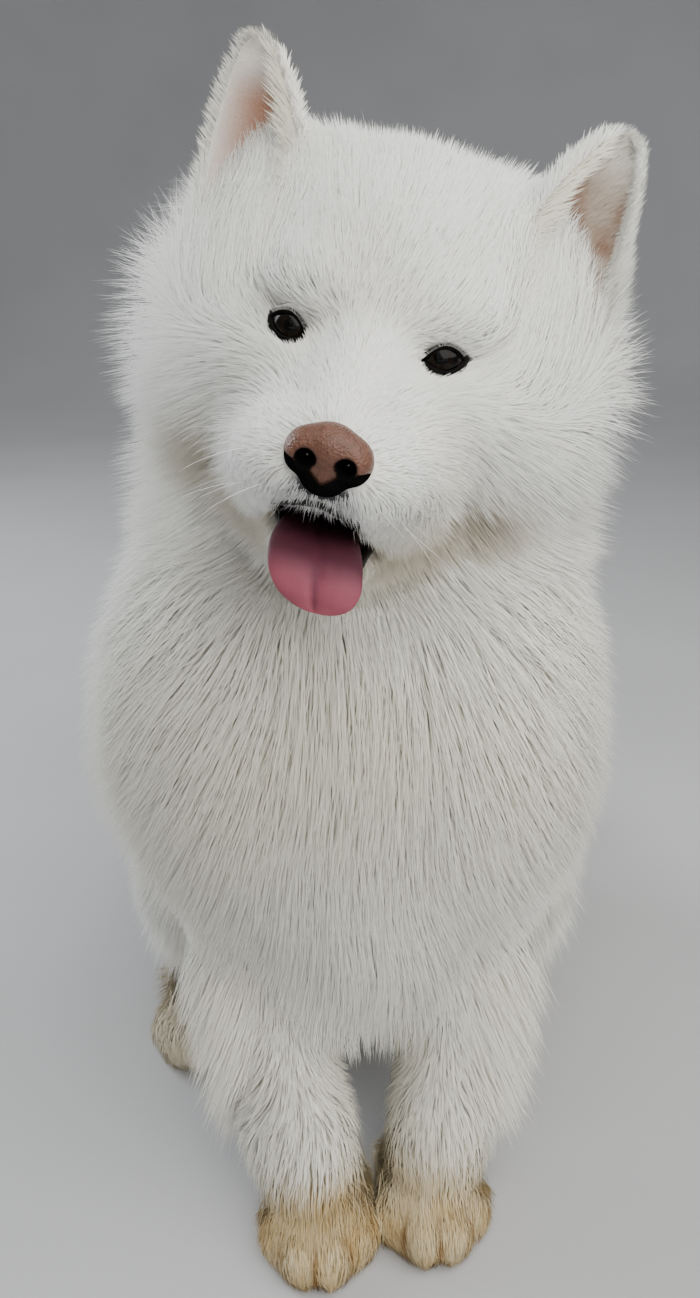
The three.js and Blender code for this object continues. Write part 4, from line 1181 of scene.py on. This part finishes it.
def add_coat(name, path, normals, uv, width, tint, stations=(0, 2, 4), **kind):
    """Lays a coat in pieces of few enough triangles, each tuft through the stations of its course."""
    limit = MOST_TRIANGLES // (2 * len(stations) - 3)
    width = np.broadcast_to(width, len(path)) / math.sqrt(SCALE)
    keep = clear_of_eyes(path)
    rows = [row[keep] for row in (path, normals, uv, width, tint)]
    for i, start in enumerate(range(0, keep.sum(), limit)):
        made = strips(f"{name}_{i}", *(row[start : start + limit] for row in rows), stations, **kind)
        made.data.materials.append(hair)
        coats.append(made)


def clear_of_eyes(path):
    """True for tufts that don't cross the opening of an eye."""
    q = to_head(path[:, 1:].reshape(-1, 3))
    near = np.min([eye_measure(q, s, 10.2, 5.4) for s in SIDES.values()], axis=0)
    return near.reshape(len(path), -1).min(1) > 1


def short_by_eyes(place):
    q = to_head(place)
    near = np.min([eye_measure(q, s) for s in SIDES.values()], axis=0)
    return 0.28 + 0.72 * smoothstep(near, 1.0, 3.2)


def body_places(count, weight):
    place, uv, _ = scattered(count, weight)
    inner, normal = slope_of(skin_at, place)
    return place - inner[:, None] * normal, uv


def off_lips(p):
    """Distance from the nearer lip."""
    return np.min([np.linalg.norm(p[:, None] - line, axis=-1).min(1) for line in LIPS.values()], axis=0)


# Where the coat grows: weights of the skin's faces
centres = skin_points[skin_quads].mean(1)
on_body = np.arange(len(skin_quads)) < len(body_quads)
root_depth = -tips_at(centres)[:, 0]
qc = to_head(centres)
bare = (mouth_distance(qc) < 1.5) | (nose_distance(qc) < 0.5)
for s in SIDES.values():
    bare |= eye_measure(qc, s) < 1
fringe = smoothstep(root_depth, 9, 15)
on_floor = centres[:, 2] < 1.5
shares = zones(centres)
head_share = shares["head"] + shares["jaw"]
off_head = 1 - smoothstep(head_share, 0.3, 0.7)
lip_near = off_lips(centres)
bristly = under_nose(qc)
grows = on_body * ~bare * ~on_floor * (lip_near > 2.6) * (1 - 0.72 * bristly)


def body_depth(place, least, most):
    return np.clip(-tips_at(place)[:, 0], least, most)


spread = np.exp(root_depth / 45)

# The lower hem of the ruff across the chest, as heights over x: its tips hang over the smoother coat below
HEM_X = (-175, -160, -113, -74, -38, -15, 4, 37, 64, 99, 134, 167, 180)
HEM_Z = (330, 311, 279, 257, 213, 152, 117, 150, 189, 227, 259, 270, 280)


def ruff_edge(p):
    """How far tufts stand up near the hem of the ruff: higher above it and lower below it."""
    over = p[:, 2] - np.interp(p[:, 0], HEM_X, HEM_Z)
    front = smoothstep(-p[:, 1], -40, 10)
    raised = smoothstep(over, 4, 22) * (1 - smoothstep(over, 60, 140))
    lowered = smoothstep(-over, -6, 10) * (1 - smoothstep(-over, 60, 130))
    return 1 + front * (0.16 * raised - 0.26 * lowered)


def by_crease(p):
    """How long the coat is near the crease, less than one there."""
    return 0.3 + 0.7 * smoothstep(crease_distance(to_head(p)), 0, 9)


def fuller(p):
    """How much further the coat stands out: on the sides of the ruff, by the ears and over hollows."""
    x, y, z = p.T
    side = smoothstep(np.abs(x - 8), 85, 140) * smoothstep(z, 330, 400) * (1 - smoothstep(z, 500, 560))
    side = side * smoothstep(-y, -60, 10)
    q = to_head(p)
    crown = near_ear(q) * (1 - smoothstep(np.abs(q[:, 0]), 55, 80)) * smoothstep(q[:, 2], 30, 60)
    pocket = 1 - smoothstep(np.linalg.norm(np.abs(q) - (80, 84, 44), axis=1), 20, 62)
    knee = 1 - smoothstep(np.linalg.norm(folded(p) - (125, 55, 232), axis=1), 20, 75)
    return (1 + 0.15 * side + 0.4 * crown + 0.22 * pocket + 0.2 * knee) * by_crease(p)


# Undercoat: broad soft tufts that fill the coat to over half its depth
count = int(70000 * SCALE)
place, uv = body_places(count, grows * (0.3 + 0.7 * fringe) * spread * (1 + head_share))
depth = body_depth(place, 3, 80)
length = (0.9 * depth + 7) * random.uniform(0.75, 1.15, count) * short_by_eyes(place)
rise = random.uniform(0.5, 0.9, count) * ruff_edge(place) * fuller(place)
path, normals, zone = coat_paths(place, length, rise)
width = np.interp(depth, [4, 15, 50], [1.4, 3.0, 5.0])
add_coat("undercoat", path, normals, uv, width, coat_tint(place, zone), root_shade=0.97, twisted=0.1)

# The plush of the head and cheeks
count = int(76000 * SCALE)
place, uv = body_places(count, grows * fringe * spread * smoothstep(head_share, 0.3, 0.7))
depth = body_depth(place, 3, 80)
q = to_head(place)
length = (1.1 * depth + 6) * (1 + 0.6 * near_ear(q)) * short_by_eyes(place)
length = length * random.uniform(0.75, 1.15, count)
rise = random.uniform(0.85, 1.12, count) * fuller(place)
path, normals, zone = coat_paths(place, length, rise)
path = gathered(path, place, 30, 0.12)
width = np.interp(depth, [8, 40], [0.75, 1.0])
add_coat("head_coat", path, normals, uv, width, coat_tint(place, zone))

# The long coat of the body, plush on the legs
count = int(168000 * SCALE)
denser = 1 + shares["leg"] + 0.5 * shares["thigh"] + 0.6 * shares["tail"]
place, uv = body_places(count, grows * fringe * spread * denser * off_head)
depth = body_depth(place, 3, 80)
zone = zones(place)
plush = np.clip(zone["leg"] + zone["hindfoot"] + 0.5 * zone["neck"], 0, 1)
length = (depth * (1.4 - 0.4 * plush) + 6) * random.uniform(0.7, 1.12, count)
rise = random.uniform(0.92, 1.06, count) * ruff_edge(place) * fuller(place)
path, normals, zone = coat_paths(place, length, rise)
path = gathered(path, place, 30, 0.12)
width = np.interp(depth, [8, 30, 60], [0.74, 1.0, 1.2])
add_coat("long_coat", path, normals, uv, width, coat_tint(place, zone), root_shade=0.95, twisted=0.12)

# Feathering that hangs from the elbows
count = int(14000 * SCALE)
x, y, z = centres.T
hanging = (np.abs(x) > 58) & (np.abs(x) < 150) & (y > -135) & (y < 60) & (z > 105) & (z < 215)
place, uv = body_places(count, grows * hanging)
zone = zones(place)
inner, normal = slope_of(smooth_skin_at, place)
lie = stacked(0.42 * np.sign(place[:, 0]), -0.12, -1) + 0.1 * random.normal(size=place.shape)
lie = unit(0.5 * unit(lie) + 0.5 * flat_on(lie, normal))
length = np.minimum(random.uniform(44, 78, count), (place[:, 2] - 36) * random.uniform(0.7, 1.0, count))
path, normals = plain_paths(place, normal, lie, length, random.uniform(0.2, 0.44, count), 0.1)
path = gathered(path, place, 25, 0.15)
add_coat("feathering", path, normals, uv, 0.9, coat_tint(place, zone), root_shade=0.97, twisted=0.1)

# Short coat of the muzzle, the lower legs and the feet
count = int(74000 * SCALE)
denser = 1 + 1.2 * (1 - smoothstep(lip_near, 6, 18))
place, uv = body_places(count, grows * (1 - fringe) * denser)
depth = body_depth(place, 2.5, 20)
zone = zones(place)
feet = zone["forepaw"] + zone["hindfoot"]
q = to_head(place)
flews = zone["head"] * smoothstep(np.abs(q[:, 0]), 18, 34) * smoothstep(q[:, 1], -75, -35)
length = (4 + 1.2 * depth + 7 * feet + 6 * flews) * random.uniform(0.7, 1.25, count) * short_by_eyes(place)
rise = random.uniform(0.7, 1.35, count) * (1 + 0.4 * flews + 0.8 * feet) * by_crease(place)
path, normals, zone = coat_paths(place, length, rise)
width = (0.62 + 0.2 * feet) * (0.45 + 0.55 * smoothstep(off_lips(place), 4, 18))
add_coat("short_coat", path, normals, uv, width, coat_tint(place, zone))

# Shaggy tufts of the feet, which run down over the toes and hang between them
count = int(20000 * SCALE)
foot_share = np.clip(shares["forepaw"] + shares["hindfoot"], 0, 1) ** 2
place, uv = body_places(count, grows * foot_share * (centres[:, 2] > 3))
zone = zones(place)
inner, normal = slope_of(smooth_skin_at, place)
lie = flat_on(lie_of(place, zone) + 0.22 * random.normal(size=place.shape), normal)
length = random.uniform(10, 19, count) * (0.55 + 0.45 * smoothstep(place[:, 2], 4, 24))
path, normals = plain_paths(place, normal, lie, length, random.uniform(0.25, 0.7, count), 0.15)
path = gathered(path, place, 20, 0.62)
add_coat("foot_coat", path, normals, uv, 0.75, coat_tint(place, zone), root_shade=0.88)

# Single long hairs that stand a little out of the coat and soften its outline
count = int(7000 * SCALE)
upper = 0.1 + smoothstep(np.abs(centres[:, 0]), 60, 110) * (centres[:, 2] > 250) + 3 * near_ear(qc)
place, uv = body_places(count, grows * fringe * upper)
depth = body_depth(place, 6, 80)
length = (1.1 * depth + 10) * random.uniform(0.8, 1.2, count) * short_by_eyes(place)
rise = random.uniform(1.0, 1.16, count) * fuller(place)
path, normals, zone = coat_paths(place, length, rise)
bend = 0.12 * random.normal(size=(count, 1, 3)) * (np.linspace(0, 1, 5) ** 2)[None, :, None]
path = path + bend * length[:, None, None]
path[..., 2] = np.maximum(path[..., 2], OFF_FLOOR)
tint = coat_tint(place, zone)
near = tips_at(path[:, -1])[:, 0] < 7
add_coat("guard_hairs", path[near], normals[near], uv[near], 0.22, tint[near], FOUR_POINTS)

# Fine bristles under the nose and a fringe along the upper lip
count = int(4200 * SCALE)
fringed = (lip_near < 8) & (qc[:, 2] > -90) & (qc[:, 2] < -56)
place, uv = body_places(count, on_body * ~bare * (0.5 * bristly + 1.0 * fringed))
inner, normal = slope_of(smooth_skin_at, place)
q = to_head(place)
lie = flat_on(head_lie(q) + 0.16 * random.normal(size=place.shape), normal)
length = random.uniform(3.5, 7.5, count) * (1 - 0.25 * under_nose(q))
path, normals = plain_paths(place, normal, lie, length, random.uniform(0.25, 0.6, count))
tint = mix(np.tile(WHITE, (count, 1)), GREY * 2.5, 0.6 * under_nose(q) * random.random(count))
add_coat("bristles", path, normals, uv, 0.2, tint, FOUR_POINTS)

# Ears: velvet on both faces, and long hairs that cross the cup from its edges
for name, s in SIDES.items():
    _, quads, height, cupped = ears[s]
    of_ear = np.zeros(len(skin_quads), bool)
    of_ear[first_of[s] : first_of[s] + len(quads)] = True
    corner = skin_quads - skin_quads[of_ear].min()
    up_ear = unit(from_head((92 * s, 58, 120)) - from_head((76 * s, 54, 16)))
    away = unit(np.array([1.0 * s, 0, 0]) @ HEAD_AXES.T)
    count = int(20000 * SCALE)
    place, uv, quad = scattered(count, of_ear)
    a, b, c, d = (skin_points[skin_quads[quad, k]] for k in range(4))
    normal = unit(np.cross(c - a, d - b))
    h, cup = (value[corner[quad]].mean(1) for value in (height, cupped))
    at_rim = smoothstep(cup, 0, 0.06) * (1 - smoothstep(cup, 0.3, 0.65))
    deep = smoothstep(cup, 0.2, 0.6) * (1 - smoothstep(h, 0.5, 0.74)) * smoothstep(h, 0, 0.1)
    deep = deep * (0.85 + 0.3 * soft_noise(place, 8, 51))
    middle = from_head((84 * s, 56, 60))
    outward = (place - middle) @ away
    lie = up_ear + 0.02 * outward[:, None] * away + smoothstep(cup, 0.1, 0.4)[:, None] * 0.45 * away
    lie = lie + 0.05 * (at_rim * outward)[:, None] * away
    lie = flat_on(lie + 0.14 * random.normal(size=(count, 3)), normal)
    low = 1 - smoothstep(h, 0.05, 0.45)
    length = (12 - 4 * h + 15 * low * (cup < 0.01)) * random.uniform(0.7, 1.2, count) * (1 - 0.3 * deep)
    angle = random.uniform(0.3, 0.6, count) + 0.2 * at_rim
    path, normals = plain_paths(place, normal, lie, length, angle)
    tint = mix(coat_tint(place, zones(place)), CREAM * 0.95, 0.7 * smoothstep(cup, 0.2, 0.7))
    tint = mix(tint, np.array([0.31, 0.165, 0.10]), (0.9 if s == LEFT else 0.22) * deep)
    add_coat("ear_coat_" + name, path, normals, uv, 0.7, tint)
    count = int(3600 * SCALE)
    place, uv, quad = scattered(count * 6, of_ear)
    h, cup = (value[corner[quad]].mean(1) for value in (height, cupped))
    inside = (place - middle) @ away < 0
    keep = np.flatnonzero(inside & (cup > 0.01) & (cup < 0.5) & (h > 0.02) & (h < 0.9))[:count]
    place, uv, h = place[keep], uv[keep], h[keep]
    way = unit(0.7 * up_ear + 0.9 * away + 0.22 * random.normal(size=place.shape))
    normal = np.tile(unit(np.array([0.3 * s, -1, 0.1]) @ HEAD_AXES.T), (len(place), 1))
    length = random.uniform(12, 30, len(place)) * (1 - 0.6 * h)
    path, normals = plain_paths(place, normal, way, length, random.uniform(0.1, 0.45, len(place)))
    path = gathered(path, place, 14, 0.5)
    tint = np.tile(CREAM, (len(place), 1))
    add_coat("ear_fringe_" + name, path, normals, uv, 0.5, tint, FOUR_POINTS)

details = {
    nose(): ("nose_leather", "nose"),
    tongue(): ("tongue", "tongue"),
    lathe_eye(RIGHT): ("eye", "eye_right"),
    lathe_eye(LEFT): ("eye", "eye_left"),
    lids(RIGHT): ("rim_skin", None),
    lids(LEFT): ("rim_skin", None),
    lip("upper_lip", 1.9): ("rim_skin", None),
    lip("lower_lip", 2.6): ("rim_skin", None),
    whiskers(): ("coat", None),
    lashes(RIGHT): ("coat", None),
    lashes(LEFT): ("coat", None),
}
for piece, (slot, node) in details.items():
    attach(piece, "root")
    if node:
        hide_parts(node)
for piece in [skin, *coats]:
    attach(piece, "root")
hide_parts(*FLESH)


def stage():
    """A pale floor that curves up into a wall all round."""
    bend = [(2.4, 0), (3.2, 0.08), (3.8, 0.4), (4.2, 1.0), (4.35, 1.8), (4.4, 3.2)]
    profile = np.concatenate([[(0, 0), (1, 0)], spline(bend, 24)])
    sides = 96
    a = np.linspace(0, 2 * math.pi, sides, endpoint=False)
    radius, height = profile[:, 0].copy(), profile[:, 1]
    radius[0] = 0.01
    x, y = radius[:, None] * np.cos(a), radius[:, None] * np.sin(a)
    points = stacked(x, y, height[:, None]).reshape(-1, 3)
    made = mesh_object("floor", points / MM, tube_quads(len(profile), sides), shift=False)
    paint = varied(material("floor", (0.5, 0.5, 0.51), 0.9), 3, 0.95)
    made.data.materials.append(bumped(paint, 260, 0.0004, 0.3))


CAMERA_AT = (0, -647, 630)
CAMERA_DOWN, CAMERA_ROLL = 22.5, -1.9
SENSOR = 36
FOCAL_SHARE = 1000 / 1298  # focal length over the longer side of the picture
LAMPS_AIM = Vector((0, 0, 0.35))


def camera():
    """The photograph's point of view: high in front of the dog, looking down at it."""
    data = bpy.data.cameras.new("camera")
    data.sensor_width = SENSOR
    data.lens = SENSOR * FOCAL_SHARE
    made = placed("camera", data)
    made.location = Vector((SHIFT + CAMERA_AT) * MM)
    pitch, roll = math.radians(CAMERA_DOWN), math.radians(CAMERA_ROLL)
    turn = Matrix.Rotation(math.pi / 2 - pitch, 3, "X") @ Matrix.Rotation(roll, 3, "Z")
    made.rotation_euler = turn.to_euler()
    bpy.context.scene.camera = made


def light(name, at, size, power, colour):
    """A square lamp that faces the dog's middle."""
    data = bpy.data.lights.new(name, "AREA")
    data.size = size
    data.energy = power
    data.color = colour
    made = placed(name, data)
    made.location = at
    made.rotation_euler = (LAMPS_AIM - Vector(at)).to_track_quat("-Z", "Y").to_euler()
    made.visible_camera = False


stage()
camera()
light("top", (0.64, -0.76, 1.44), 2.05, 41, (1, 0.99, 0.95))
light("fill", (0.3, -2.2, 1.2), 2.2, 12, (1, 0.98, 0.95))
light("rim", (-2.0, 0.9, 1.5), 1.4, 50, (0.93, 0.97, 1))
world = bpy.data.worlds.new("studio")
bpy.context.scene.world = world
world.use_nodes = True
world.node_tree.nodes["Background"].inputs[0].default_value = (0.95, 0.97, 1.0, 1)
world.node_tree.nodes["Background"].inputs[1].default_value = 0.32
